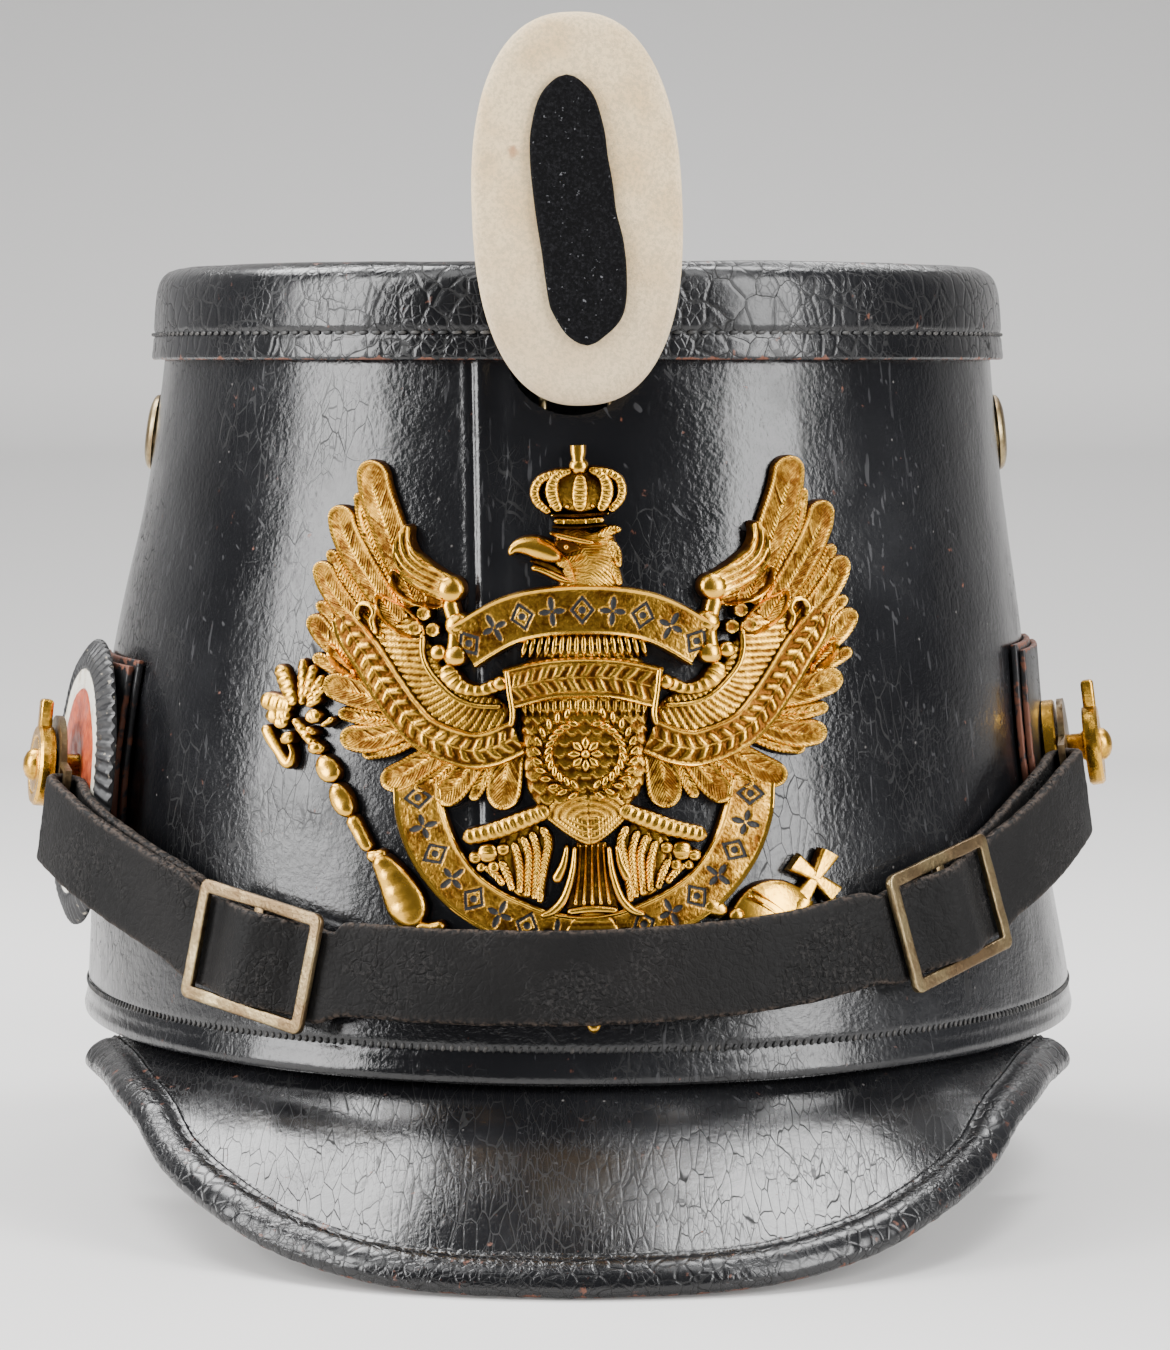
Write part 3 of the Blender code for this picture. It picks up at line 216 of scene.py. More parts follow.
def pick(piece):
    """Makes a piece the one that is selected and active."""
    bpy.ops.object.select_all(action="DESELECT")
    bpy.context.view_layer.objects.active = piece
    piece.select_set(True)


def close(piece):
    """Merges a piece's meeting points and turns its faces outward."""
    pick(piece)
    bpy.ops.object.mode_set(mode="EDIT")
    bpy.ops.mesh.select_all(action="SELECT")
    bpy.ops.mesh.remove_doubles(threshold=0.000001)
    bpy.ops.mesh.normals_make_consistent(inside=False)
    bpy.ops.object.mode_set(mode="OBJECT")


def sheet(name, columns, rows, place, closed=False):
    """A grid laid on a surface: place gives the point at shares u and v of its sides."""
    bpy.ops.object.select_all(action="DESELECT")
    bpy.ops.mesh.primitive_grid_add(x_subdivisions=columns, y_subdivisions=rows, size=1.0)
    piece = bpy.context.object
    piece.name = piece.data.name = name
    for vert in piece.data.vertices:
        vert.co = place(vert.co.x + 0.5, vert.co.y + 0.5)
    if closed:
        close(piece)
    return piece


def finish(piece, kind, **settings):
    """Adds a modifier to a piece and applies it."""
    pick(piece)
    item = piece.modifiers.new(kind.lower(), kind)
    for name, value in settings.items():
        setattr(item, name, value)
    bpy.ops.object.modifier_apply(modifier=item.name)
    return piece


def settle(piece, material, slot, *nodes, angle=40.0):
    """Gives a finished piece its material, smooth shading and place in the frame."""
    pick(piece)
    bpy.ops.object.transform_apply(location=True, rotation=True, scale=True)
    bpy.ops.object.shade_smooth_by_angle(angle=math.radians(angle))
    piece.data.materials.clear()
    piece.data.materials.append(material)
    if nodes:
        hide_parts(*nodes)
    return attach(piece, "root")


def body_surface(u, v):
    angle = math.radians(straight(BODY_COLUMNS, u)[0])
    height = straight(BODY_LEVELS, v)[0]
    point = wall(angle, height)
    off = waves(point)
    if point.y < 0:
        across = point.x - smooth(WELT_LINE, height)[0]
        fade = min(1.0, max(0.0, (height - 0.045) / 0.02))
        off += fade * sum(ridge(across - place, width, rise) for place, width, rise in WELT_RIDGES)
    for place, width, rise in (FOOT_GROOVE, FOOT_LIP):
        off += ridge(height - place, width, rise)
    return wall(angle, height, off)


def cylinder(name, radius, depth, place, turn=(0.0, 0.0, 0.0), sides=48):
    bpy.ops.object.select_all(action="DESELECT")
    bpy.ops.mesh.primitive_cylinder_add(vertices=sides, radius=radius, depth=depth,
                                        location=place, rotation=turn)
    piece = bpy.context.object
    piece.name = piece.data.name = name
    return piece


body = sheet("shako_body", 330, 84, body_surface, closed=True)
finish(body, "SOLIDIFY", thickness=BODY_WALL, offset=-1.0, use_even_offset=True)
finish(body, "BEVEL", width=0.0008, segments=3, limit_method="ANGLE", angle_limit=math.radians(60))
notch = cylinder("notch", 1.0, 0.03, NOTCH_CENTRE, (math.pi / 2, 0.0, 0.0))
notch.scale = (NOTCH_HALF_WIDTH, NOTCH_DEPTH, 1.0)
airing = cylinder("airing", VENT_RADIUS, 0.30, (0.0, AXIS_Y, VENT_HEIGHT),
                  (0.0, math.pi / 2, 0.0))
for cutter in (notch, airing):
    finish(body, "BOOLEAN", operation="DIFFERENCE", object=cutter)
    bpy.data.objects.remove(cutter)


def group(name, inputs, outputs):
    """A node group with named inputs and outputs: returns its tree and its two end nodes."""
    tree = bpy.data.node_groups.new(name, "ShaderNodeTree")
    for label, kind, value in inputs:
        item = tree.interface.new_socket(label, in_out="INPUT", socket_type="NodeSocket" + kind)
        if value is not None:
            item.default_value = value
    for label, kind in outputs:
        tree.interface.new_socket(label, in_out="OUTPUT", socket_type="NodeSocket" + kind)
    return tree, tree.nodes.new("NodeGroupInput"), tree.nodes.new("NodeGroupOutput")


def math_node(tree, operation, first, second=0.0, third=0.0):
    inputs = {0: first, 1: second, 2: third}
    return node(tree, "Math", inputs, operation=operation).outputs[0]


def ramp(tree, value, low, high, to_low=0.0, to_high=1.0):
    """Value between low and high, brought smoothly to the range to_low to to_high."""
    inputs = {"Value": value, 1: low, 2: high, 3: to_low, 4: to_high}
    return node(tree, "MapRange", inputs, interpolation_type="SMOOTHSTEP").outputs[0]


def mixed(tree, share, first, second):
    """The first colour passing into the second, each a node's output or red, green and blue."""
    first, second = ((*tone, 1.0) if isinstance(tone, tuple) else tone for tone in (first, second))
    inputs = {0: share, 6: first, 7: second}
    return node(tree, "Mix", inputs, data_type="RGBA").outputs[2]


def cloud(tree, vector, scale, detail=2.0, roughness=0.5):
    inputs = {"Vector": vector, "Scale": scale, "Detail": detail, "Roughness": roughness}
    return node(tree, "TexNoise", inputs).outputs[0]


def object_place(tree):
    return node(tree, "TexCoord").outputs["Object"]


def bumped(tree, shader, strength, distance, height):
    inputs = {"Strength": strength, "Distance": distance, "Height": height}
    socket(shader, "Normal", node(tree, "Bump", inputs).outputs[0])


def make_crazing():
    """Fine cracks in old lacquer: islands that are pillowed, with a gap between them."""
    tree, given, made = group("crazing", (("Vector", "Vector", None), ("Scale", "Float", 400.0),
                                          ("Width", "Float", 0.06), ("Warp", "Float", 0.004)),
                              (("Gap", "Float"), ("Pillow", "Float")))
    warp = node(tree, "TexNoise", {"Vector": given.outputs["Vector"], "Scale": 160.0,
                                   "Detail": 2.0})
    centred = node(tree, "VectorMath", {0: warp.outputs["Color"], 1: (0.5, 0.5, 0.5)},
                   operation="SUBTRACT")
    moved = node(tree, "VectorMath", {0: centred.outputs[0], "Scale": given.outputs["Warp"]},
                 operation="SCALE")
    place = node(tree, "VectorMath", {0: given.outputs["Vector"], 1: moved.outputs[0]},
                 operation="ADD")
    cells = node(tree, "TexVoronoi", {"Vector": place.outputs[0],
                                      "Scale": given.outputs["Scale"]},
                 feature="DISTANCE_TO_EDGE")
    edge = cells.outputs["Distance"]
    gap = node(tree, "MapRange", {"Value": edge, 1: 0.0, 2: given.outputs["Width"],
                                  3: 1.0, 4: 0.0}, interpolation_type="SMOOTHSTEP")
    socket(made, "Gap", gap.outputs[0])
    socket(made, "Pillow", ramp(tree, edge, 0.0, 0.16))
    return tree


def make_scratches():
    """Long thin strokes along one direction of the vector that it is given."""
    tree, given, made = group("scratches", (("Vector", "Vector", None), ("Fine", "Float", 900.0),
                                            ("Long", "Float", 0.03), ("Amount", "Float", 0.35)),
                              (("Stroke", "Float"),))
    stretch = node(tree, "CombineXYZ", {0: 1.0, 1: 1.0, 2: given.outputs["Long"]})
    place = node(tree, "VectorMath", {0: given.outputs["Vector"], 1: stretch.outputs[0]},
                 operation="MULTIPLY")
    fine = cloud(tree, place.outputs[0], given.outputs["Fine"], 1.0)
    low = math_node(tree, "SUBTRACT", 0.80, math_node(tree, "MULTIPLY", given.outputs["Amount"], 0.2))
    stroke = node(tree, "MapRange", {"Value": fine, 1: low, 2: math_node(tree, "ADD", low, 0.07),
                                     3: 0.0, 4: 1.0}, interpolation_type="SMOOTHSTEP")
    patches = ramp(tree, cloud(tree, given.outputs["Vector"], 35.0), 0.42, 0.62)
    socket(made, "Stroke", math_node(tree, "MULTIPLY", stroke.outputs[0], patches))
    return tree


CRAZING = make_crazing()
SCRATCHES = make_scratches()


def placed_group(tree, made, **inputs):
    item = tree.nodes.new("ShaderNodeGroup")
    item.node_tree = made
    for name, value in inputs.items():
        socket(item, name, value)
    return item


def lacquer(name, wide, fine, stretch, crazed, depth, scratch, shine, dents, grain):
    """Black lacquered leather: cracks of two sizes, scratches, specks and worn brown edges.

    Wide and fine are the scales of the cracks, drawn out by stretch; crazed is the share of the
    leather that has them and depth their relief. Shine is the gloss's roughness.
    """
    material, tree, shader = new_material(name)
    place = object_place(tree)
    run = node(tree, "Mapping", {"Vector": place, "Scale": stretch}).outputs[0]
    large = placed_group(tree, CRAZING, Vector=run, Scale=wide, Width=0.032, Warp=0.0022)
    small = placed_group(tree, CRAZING, Vector=run, Scale=fine, Width=0.06, Warp=0.0016)
    strokes = placed_group(tree, SCRATCHES, Vector=place, Amount=scratch)
    tilted = node(tree, "Mapping", {"Vector": place, "Rotation": (0.5, 0.7, 0.2)}).outputs[0]
    crossing = placed_group(tree, SCRATCHES, Vector=tilted, Fine=700.0, Amount=scratch * 0.8)
    low = 0.66 - 0.36 * crazed
    areas = ramp(tree, cloud(tree, place, 26.0, 3.0, 0.6), low, low + 0.16)
    patchy = math_node(tree, "MULTIPLY", areas, ramp(tree, cloud(tree, place, 60.0, 3.0), 0.38, 0.58))
    smear = cloud(tree, place, 18.0, 3.0, 0.6)
    wide_gap = math_node(tree, "MULTIPLY", large.outputs["Gap"], areas)
    fine_gap = math_node(tree, "MULTIPLY", small.outputs["Gap"], patchy)
    fine_gap = math_node(tree, "MULTIPLY", fine_gap, 0.6)
    gaps = math_node(tree, "MAXIMUM", wide_gap, fine_gap)
    marks = math_node(tree, "MAXIMUM", strokes.outputs[0], crossing.outputs[0])
    dust = node(tree, "TexVoronoi", {"Vector": place, "Scale": 420.0})
    few = ramp(tree, dust.outputs["Color"], 0.80, 0.84)
    dots = math_node(tree, "MULTIPLY", few, ramp(tree, dust.outputs["Distance"], 0.05, 0.14, 1.0, 0.0))
    worn = node(tree, "Attribute", attribute_name="wear").outputs["Fac"]
    spots = cloud(tree, place, 380.0, 3.0, 0.6)
    rub = ramp(tree, math_node(tree, "MULTIPLY_ADD", worn, 0.34, spots), 0.69, 0.79)
    tone = mixed(tree, ramp(tree, smear, 0.35, 0.75), LACQUER_DEEP, LACQUER_THIN)
    tone = mixed(tree, math_node(tree, "MULTIPLY", gaps, 0.9), tone, CRACK_BLACK)
    tone = mixed(tree, math_node(tree, "MULTIPLY", marks, 0.4), tone, SCRATCH_GREY)
    tone = mixed(tree, math_node(tree, "MULTIPLY", dots, 0.5), tone, DUST_GREY)
    tone = mixed(tree, rub, tone, BARE_LEATHER)
    socket(shader, "Base Color", tone)
    bare = ramp(tree, cloud(tree, place, 55.0, 4.0, 0.68), 0.50, 0.68)
    rough = ramp(tree, smear, 0.30, 0.75, shine, shine + 0.14)
    rough = math_node(tree, "MULTIPLY_ADD", bare, 0.07, rough)
    rough = math_node(tree, "MULTIPLY_ADD", marks, 0.20, rough)
    rough = math_node(tree, "MULTIPLY_ADD", gaps, 0.55, rough)
    rough = math_node(tree, "MULTIPLY_ADD", rub, 0.35, rough)
    socket(shader, "Roughness", rough)
    sunk = math_node(tree, "SUBTRACT", 1.0, gaps)
    socket(shader, "Specular IOR Level", 0.33)
    coat = math_node(tree, "MULTIPLY_ADD", bare, -0.10, 0.28)
    socket(shader, "Coat Weight", math_node(tree, "MULTIPLY", coat, sunk))
    socket(shader, "Coat Roughness", shine)
    socket(shader, "Coat IOR", 1.5)
    high = math_node(tree, "MULTIPLY", large.outputs["Pillow"], areas)
    high = math_node(tree, "MULTIPLY", high, depth)
    low_cells = math_node(tree, "MULTIPLY", small.outputs["Pillow"], patchy)
    high = math_node(tree, "MULTIPLY_ADD", low_cells, depth * 0.5, high)
    high = math_node(tree, "MULTIPLY_ADD", cloud(tree, place, 900.0, 3.0, 0.6), grain, high)
    high = math_node(tree, "MULTIPLY_ADD", cloud(tree, place, 260.0, 2.0), 0.40, high)
    high = math_node(tree, "MULTIPLY_ADD", cloud(tree, place, 90.0, 2.0, 0.6), dents, high)
    bumped(tree, shader, 0.55, 0.00022, high)
    return material


body_lacquer = lacquer("body_lacquer", wide=360.0, fine=820.0, stretch=(1.0, 1.0, 0.4), crazed=0.45,
                       depth=0.18, scratch=0.75, shine=0.14, dents=1.6, grain=1.10)
settle(body, body_lacquer, "lacquered_leather", "body_shell")

# ---------------------------------------------------------------- lid
# A drum lid of the same leather: its band is turned down over the body's top and held by one
# row of stitches, which lies in a pressed groove above the band's cut edge.
LID_FOOT = 0.1536
LID_ROWS = (  # share of the profile, height, off the body's face at the foot, share of reach
    (0.00, 0.1536, 0.0024, 1.00),
    (0.30, 0.1655, 0.0016, 1.00),
    (0.40, 0.1690, 0.0005, 1.00),
    (0.46, 0.1706, -0.0016, 1.00),
    (0.52, 0.1710, -0.0046, 1.00),
    (0.70, 0.1707, -0.0046, 0.75),
    (1.00, 0.1705, -0.0046, 0.00),
)
LID_WALL = 0.0021
LID_GROOVE = (0.1584, 0.0006, -0.00035)
LID_EDGE = (0.1546, 0.0008, 0.00015)
LID_RIM = (0.0750, 0.0865)  # half width and half length of the top's worn rim
LID_RIM_FOOT = 0.1695
STITCH_LENGTH = 0.0019
STITCH_PITCH = 0.0026


def lid_surface(u, v):
    angle = math.tau * (u - 0.5)
    height, off, share = straight(LID_ROWS, v) if v > 0.52 else smooth(LID_ROWS, v)
    for place, width, rise in (LID_GROOVE, LID_EDGE):
        off += ridge(height - place, width, rise) if v < 0.4 else 0.0
    edge = wall(angle, LID_FOOT, off)
    off += waves(edge, 2.0)
    edge = wall(angle, LID_FOOT, off)
    point = Vector((0.0, AXIS_Y, 0.0)).lerp(edge, share)
    point.z = height + (waves(point) if v > 0.45 else 0.0)
    return point


def mark(piece, name, values):
    """Stores a number for each point of a piece, which its material can read."""
    piece.data.attributes.new(name, "FLOAT", "POINT").data.foreach_set("value", values)


lid = sheet("shako_lid", 260, 70, lid_surface, closed=True)
finish(lid, "SOLIDIFY", thickness=LID_WALL, offset=-1.0, use_even_offset=True)
finish(lid, "BEVEL", width=0.0005, segments=2, limit_method="ANGLE", angle_limit=math.radians(60))
lid_wear = []
for vert in lid.data.vertices:
    x, y, z = vert.co
    rim = ridge(math.hypot(x / LID_RIM[0], (y - AXIS_Y) / LID_RIM[1]) - 1.0, 0.03, 0.40)
    lid_wear.append(max(rim if z > LID_RIM_FOOT else 0.0, ridge(z - LID_FOOT - 0.0001, 0.0004, 0.7)))
mark(lid, "wear", lid_wear)
lid_lacquer = lacquer("lid_lacquer", wide=260.0, fine=620.0, stretch=(1.0, 1.0, 0.8), crazed=0.95,
                      depth=0.60, scratch=0.30, shine=0.16, dents=1.0, grain=0.55)
settle(lid, lid_lacquer, "lacquered_leather", "crown_lid")

# ---------------------------------------------------------------- visors
# Both visors are cut from thinner leather, moulded over a block, and their inner edge is
# turned up inside the body, where the foot's stitches hold it.
FRONT_VISOR_ROWS = (  # angle from the middle, reach of the edge off the foot, its height
    (0.0, 0.0345, 0.0033),
    (12.0, 0.0332, 0.0040),
    (21.5, 0.0286, 0.0068),
    (30.0, 0.0230, 0.0118),
    (37.5, 0.0170, 0.0166),
    (43.0, 0.0123, 0.0214),
    (49.0, 0.0082, 0.0238),
    (56.0, 0.0036, 0.0250),
    (62.0, 0.0012, 0.0254),
    (66.0, 0.0006, 0.0258),
)
REAR_VISOR_ROWS = (
    (0.0, 0.0255, 0.0011),
    (12.0, 0.0240, 0.0022),
    (24.0, 0.0190, 0.0068),
    (34.0, 0.0125, 0.0140),
    (42.0, 0.0068, 0.0206),
    (49.0, 0.0022, 0.0248),
    (54.0, -0.0010, 0.0262),
)
VISOR_WALL = 0.0025
VISOR_STRIP = ((-0.00475, 0.0400), (-0.00475, 0.0310), (-0.0042, 0.0282))  # off, height
VISOR_LIP = (-0.0018, 0.0271)
VISOR_CROWN = 0.0005
EDGE_DROP = 0.6
FOOT = BODY_ROWS[0][0]


def visor_line(angle, reach, edge_height, bite, steps=22):
    """Middle line of a visor's leather, from the sewn strip inside the body to its edge."""
    line = []
    for off, height in VISOR_STRIP:
        point = wall(angle, max(height, FOOT), off)
        point.z = height
        line.append(point)
    start = Vector(VISOR_LIP)
    end = Vector((reach + bite, edge_height - bite * EDGE_DROP))
    crown = VISOR_CROWN * 4 * min(1.0, (end - start).length / 0.030)
    for step in range(steps + 1):
        share = step / steps
        off, height = start.lerp(end, share)
        point = wall(angle, FOOT, off)
        point.z = height + crown * share * (1 - share)
        line.append(point)
    return line


def visor(name, rows, middle, bite, columns):
    limit = rows[-1][0]
    lines = []
    for i in range(columns + 1):
        angle = limit * (2 * i / columns - 1)
        reach, height = smooth(rows, abs(angle))
        line = visor_line(middle + math.radians(angle), reach, height, bite)
        lines.append([point + Vector((0, 0, waves(point, 0.5))) for point in line])
    last = len(lines[0]) - 1
    surface = lambda u, v: lines[round(u * columns)][last - round(v * last)]
    piece = sheet(name, columns, last, surface)
    finish(piece, "SOLIDIFY", thickness=VISOR_WALL, offset=0.0, use_even_offset=True)
    finish(piece, "BEVEL", width=0.0006, segments=2, limit_method="ANGLE",
           angle_limit=math.radians(60))
    return piece


visor_lacquer = lacquer("visor_lacquer", wide=330.0, fine=760.0, stretch=(1.6, 0.40, 0.25),
                        crazed=0.95, depth=0.10, scratch=0.5, shine=0.13, dents=0.5, grain=0.45)
front_visor = visor("shako_front_visor", FRONT_VISOR_ROWS, 0.0, -0.0010, 150)
settle(front_visor, visor_lacquer, "lacquered_leather", "front_visor")
rear_visor = visor("shako_rear_visor", REAR_VISOR_ROWS, math.pi, 0.0, 110)
settle(rear_visor, visor_lacquer, "lacquered_leather", "rear_visor")

# ---------------------------------------------------------------- visor edging
# A strip of leather folded over the front visor's edge and sewn down. It has cracked across
# in fine wrinkles and has worn brown along the outside.
TRIM_HALF_WIDTH = 0.0042
TRIM_HALF_THICK = 0.0026
TRIM_SLOT = (-0.00386, 0.00105, 0.00155)  # mouth, end, half width
TRIM_COLUMNS = 420


def trim_section(steps=24):
    """The fold's section: a rounded roll with a thin inner lip, and a slot for the visor."""
    mouth, end, half = TRIM_SLOT
    points = []
    for i in range(steps + 1):
        turn = math.radians(150 * (1 - 2 * i / steps))
        across = TRIM_HALF_WIDTH * math.cos(turn)
        rise = TRIM_HALF_THICK * math.sin(turn)
        if rise > 0:
            rise += ridge(across + 0.0032, 0.0005, 0.0003) + ridge(across + 0.0022, 0.0005, -0.0003)
        points.append((across, rise))
    return points + [(mouth, -half), (end, -half), (end, half), (mouth, half)]


def trim_frames():
    limit = FRONT_VISOR_ROWS[-1][0]
    lines = []
    for i in range(TRIM_COLUMNS + 1):
        angle = limit * (2 * i / TRIM_COLUMNS - 1)
        reach, height = smooth(FRONT_VISOR_ROWS, abs(angle))
        lines.append(visor_line(math.radians(angle), reach, height, 0.0, steps=3))
    frames = []
    for i, line in enumerate(lines):
        along = (lines[min(i + 1, TRIM_COLUMNS)][-1] - lines[max(i - 1, 0)][-1]).normalized()
        slope = line[-1] - line[-2]
        outward = (slope - along * slope.dot(along)).normalized()
        upward = outward.cross(along)
        frames.append((line[-1], outward, upward if upward.z > 0 else -upward))
    return frames


section = trim_section()
frames = trim_frames()
trim_wear = []


def trim_surface(u, v):
    edge, outward, upward = frames[round(u * TRIM_COLUMNS)]
    across, rise = section[round(v * len(section)) % len(section)]
    point = edge + outward * across + upward * rise
    trim_wear.append(0.60 if rise < -0.0004 and across > 0 else 0.15)
    if round(v * len(section)) % len(section) <= 24:
        wrinkle = noise.noise(Vector((u * 150.0 + across * 300, 0.0, 3.0)))
        wrinkle += 0.5 * noise.noise(Vector((u * 420.0, across * 200, 7.0)))
        point += (outward * across + upward * rise).normalized() * wrinkle * 0.00016
    return point


def cap_ends(piece):
    """Closes a tube's two open ends."""
    pick(piece)
    bpy.ops.object.mode_set(mode="EDIT")
    bpy.ops.mesh.select_all(action="DESELECT")
    bpy.ops.mesh.select_non_manifold()
    bpy.ops.mesh.edge_face_add()
    bpy.ops.mesh.select_all(action="SELECT")
    bpy.ops.mesh.normals_make_consistent(inside=False)
    bpy.ops.object.mode_set(mode="OBJECT")


trim = sheet("shako_visor_edging", TRIM_COLUMNS, len(section), trim_surface)
mark(trim, "wear", trim_wear)
close(trim)
cap_ends(trim)
edging_lacquer = lacquer("edging_lacquer", wide=380.0, fine=900.0, stretch=(1.0, 1.0, 1.0),
                         crazed=1.0, depth=0.60, scratch=0.2, shine=0.18, dents=0.6, grain=0.3)
settle(trim, edging_lacquer, "edge_leather", "visor_trim", angle=50.0)

# ---------------------------------------------------------------- stitching
# Waxed black thread: one row lies in the groove of the lid's band, another above the body's
# foot holds both visors. Every stitch is a short roll of thread, half sunk in the leather.
FOOT_STITCH_HEIGHT = 0.0356
FOOT_STITCH_PITCH = 0.0015
FOOT_STITCH_LENGTH = 0.00115
FOOT_STITCH_LEAN = 0.30
LID_STITCH_LEAN = 1.50
THREAD_RADIUS = 0.00034
THREAD_BLACK = (0.006, 0.006, 0.006)
THREAD_DUSTY = (0.050, 0.046, 0.042)


def stitches(name, place, length, pitch, lean):
    """Copies of one stitch along a line round the hat, joined to one piece."""
    bpy.ops.object.select_all(action="DESELECT")
    bpy.ops.mesh.primitive_uv_sphere_add(segments=8, ring_count=6, radius=THREAD_RADIUS)
    single = bpy.context.object
    single.name = single.data.name = name
    single.data.transform(Matrix.Diagonal((1.0, 0.8, length / THREAD_RADIUS / 2, 1.0)))
    copies = [single]
    angle = -math.pi
    while angle < math.pi - 0.01:
        point = place(angle)
        along = (place(angle + 0.01) - point).normalized()
        upward = Vector((0, 0, 1))
        length_axis = (upward * math.cos(lean) + along * math.sin(lean)).normalized()
        outward = along.cross(upward).normalized()
        matrix = Matrix((outward.cross(length_axis), outward, length_axis)).transposed().to_4x4()
        matrix.translation = point
        copy = single.copy()
        copy.data = single.data.copy()
        bpy.context.collection.objects.link(copy)
        copy.data.transform(matrix)
        copies.append(copy)
        angle += pitch * 0.01 / (place(angle + 0.01) - point).length
    bpy.data.objects.remove(copies.pop(0))
    return join(name, copies)


def join(name, pieces):
    bpy.ops.object.select_all(action="DESELECT")
    for piece in pieces:
        piece.select_set(True)
    bpy.context.view_layer.objects.active = pieces[0]
    bpy.ops.object.join()
    whole = bpy.context.object
    whole.name = whole.data.name = name
    return whole


def lid_seam(angle):
    point = wall(angle, LID_FOOT, 0.00205)
    point.z = LID_GROOVE[0]
    return point


def foot_seam(angle):
    return wall(angle, FOOT_STITCH_HEIGHT, 0.0)


thread, tree, shader = new_material("waxed_thread")
dusty = ramp(tree, cloud(tree, object_place(tree), 300.0), 0.4, 0.7)
socket(shader, "Base Color", mixed(tree, dusty, THREAD_BLACK, THREAD_DUSTY))
socket(shader, "Roughness", 0.5)
settle(stitches("lid_stitches", lid_seam, STITCH_LENGTH, STITCH_PITCH, LID_STITCH_LEAN),
       thread, "lacquered_leather")
settle(stitches("foot_stitches", foot_seam, FOOT_STITCH_LENGTH, FOOT_STITCH_PITCH,
                FOOT_STITCH_LEAN), thread, "lacquered_leather")

# ---------------------------------------------------------------- side patches
# Two squares of leather lie under each post, the upper one a little smaller. Their cut edges
# have worn to reddish brown.
POSTS = {  # side, ahead of the axis, height, drum's height, lug's stand-off
    "left": {"side": -1, "ahead": 0.0300, "height": 0.0769, "drum": 0.0012, "lug": 0.0096},
    "right": {"side": 1, "ahead": 0.0170, "height": 0.0792, "drum": 0.0022, "lug": 0.0068},
}
PATCH_HALF = (0.0190, 0.0215)
PATCH_WALL = 0.0012
PATCH_STEP = 0.0010
PATCH_LAYERS = (("inner", 0.0004, 0.0), ("outer", 0.0018, PATCH_STEP))  # name, off, inset


def wall_turn(angle, height):
    """A matrix that stands on the wall: Z outward, Y up the wall."""
    step = 0.004
    up = wall(angle, height + step) - wall(angle, height - step)
    side = wall(angle + 0.01, height) - wall(angle - 0.01, height)
    outward = side.cross(up).normalized()
    up = (Vector((0, 0, 1)) - outward * outward.z).normalized()
    matrix = Matrix((up.cross(outward), up, outward)).transposed().to_4x4()
    matrix.translation = wall(angle, height)
    return matrix


def post_angle(post):
    return post["side"] * math.acos(post["ahead"] / smooth(BODY_ROWS, post["height"])[2])


def post_turn(post):
    return wall_turn(post_angle(post), post["height"])


def patch(label, post, layer, off, inset):
    front = smooth(BODY_ROWS, post["height"])[2]
    half_turn = (PATCH_HALF[0] - inset) / front
    half_height = PATCH_HALF[1] - inset

    def place(u, v):
        angle = post_angle(post) + half_turn * (2 * u - 1)
        height = post["height"] + half_height * (2 * v - 1)
        point = wall(angle, height)
        return wall(angle, height, off + 0.5 * waves(point + Vector((off, 0, 0)) * 40, 2.0))

    piece = sheet("patch_" + layer + "_" + label, 44, 48, place)
    finish(piece, "SOLIDIFY", thickness=PATCH_WALL, offset=1.0, use_even_offset=True)
    finish(piece, "BEVEL", width=0.00035, segments=3, limit_method="ANGLE",
           angle_limit=math.radians(60))
    here = post_turn(post).inverted()
    edges = []
    for vert in piece.data.vertices:
        local = here @ vert.co
        inward = min(PATCH_HALF[0] - inset - abs(local.x), half_height - abs(local.y))
        edges.append(ridge(max(inward, 0.0), 0.0009, 1.0))
    mark(piece, "wear", edges)
    return piece


patch_leather = lacquer("patch_leather", wide=300.0, fine=800.0, stretch=(1.0, 1.0, 0.7),
                        crazed=0.8, depth=0.3, scratch=0.3, shine=0.36, dents=0.6, grain=0.5)
for label, post in POSTS.items():
    for layer, off, inset in PATCH_LAYERS:
        settle(patch(label, post, layer, off, inset), patch_leather, "edge_leather",
               "side_patch_" + layer + "_" + label)

# ---------------------------------------------------------------- side posts, nuts and vents
# Turned brass: each post has a drum that presses on the patches, a neck for the lug, a grooved
# head with a small dome and a soldered tab. A nut holds it inside. Grommets air the hat.
DRUM_RADIUS = 0.0095
DRUM_FOOT = 0.0034
NECK_RADIUS = 0.0025
HEAD_RADIUS = 0.0076
HEAD_FOOT = 0.0107
HEAD_TOP = 0.0137
POST_TAB = (0.0034, 0.0060, 0.0024)
# The dull colour is patina and painted shade both: it fills where the polish mark is low, in the recesses.
GILT = ((0.80, 0.44, 0.052), (0.075, 0.026, 0.004), (0.30, 0.12, 0.018))  # bright, dull, tarnish
OLD_BRASS = ((0.36, 0.28, 0.145), (0.12, 0.08, 0.04), (0.13, 0.080, 0.042))
FILLED_BLACK = (0.004, 0.0035, 0.003)
VENT_PROFILE = (
    (0.0040, 0.0014), (0.0044, 0.0017), (0.0050, 0.0018), (0.0058, 0.0016), (0.0066, 0.0013),
    (0.0071, 0.0009), (0.0073, 0.0003), (0.0050, 0.0003), (0.0050, -0.0039), (0.0040, -0.0039),
    (0.0040, 0.0014),
)


def turned(name, profile, matrix, sides=72):
    """A lathe-turned piece: its profile is radius and height along the matrix's Z."""
    last = len(profile) - 1

    def place(u, v):
        radius, height = profile[round(v * last)]
        return matrix @ Vector((radius * math.cos(math.tau * u), radius * math.sin(math.tau * u),
                                height))

    return sheet(name, sides, last, place, closed=True)


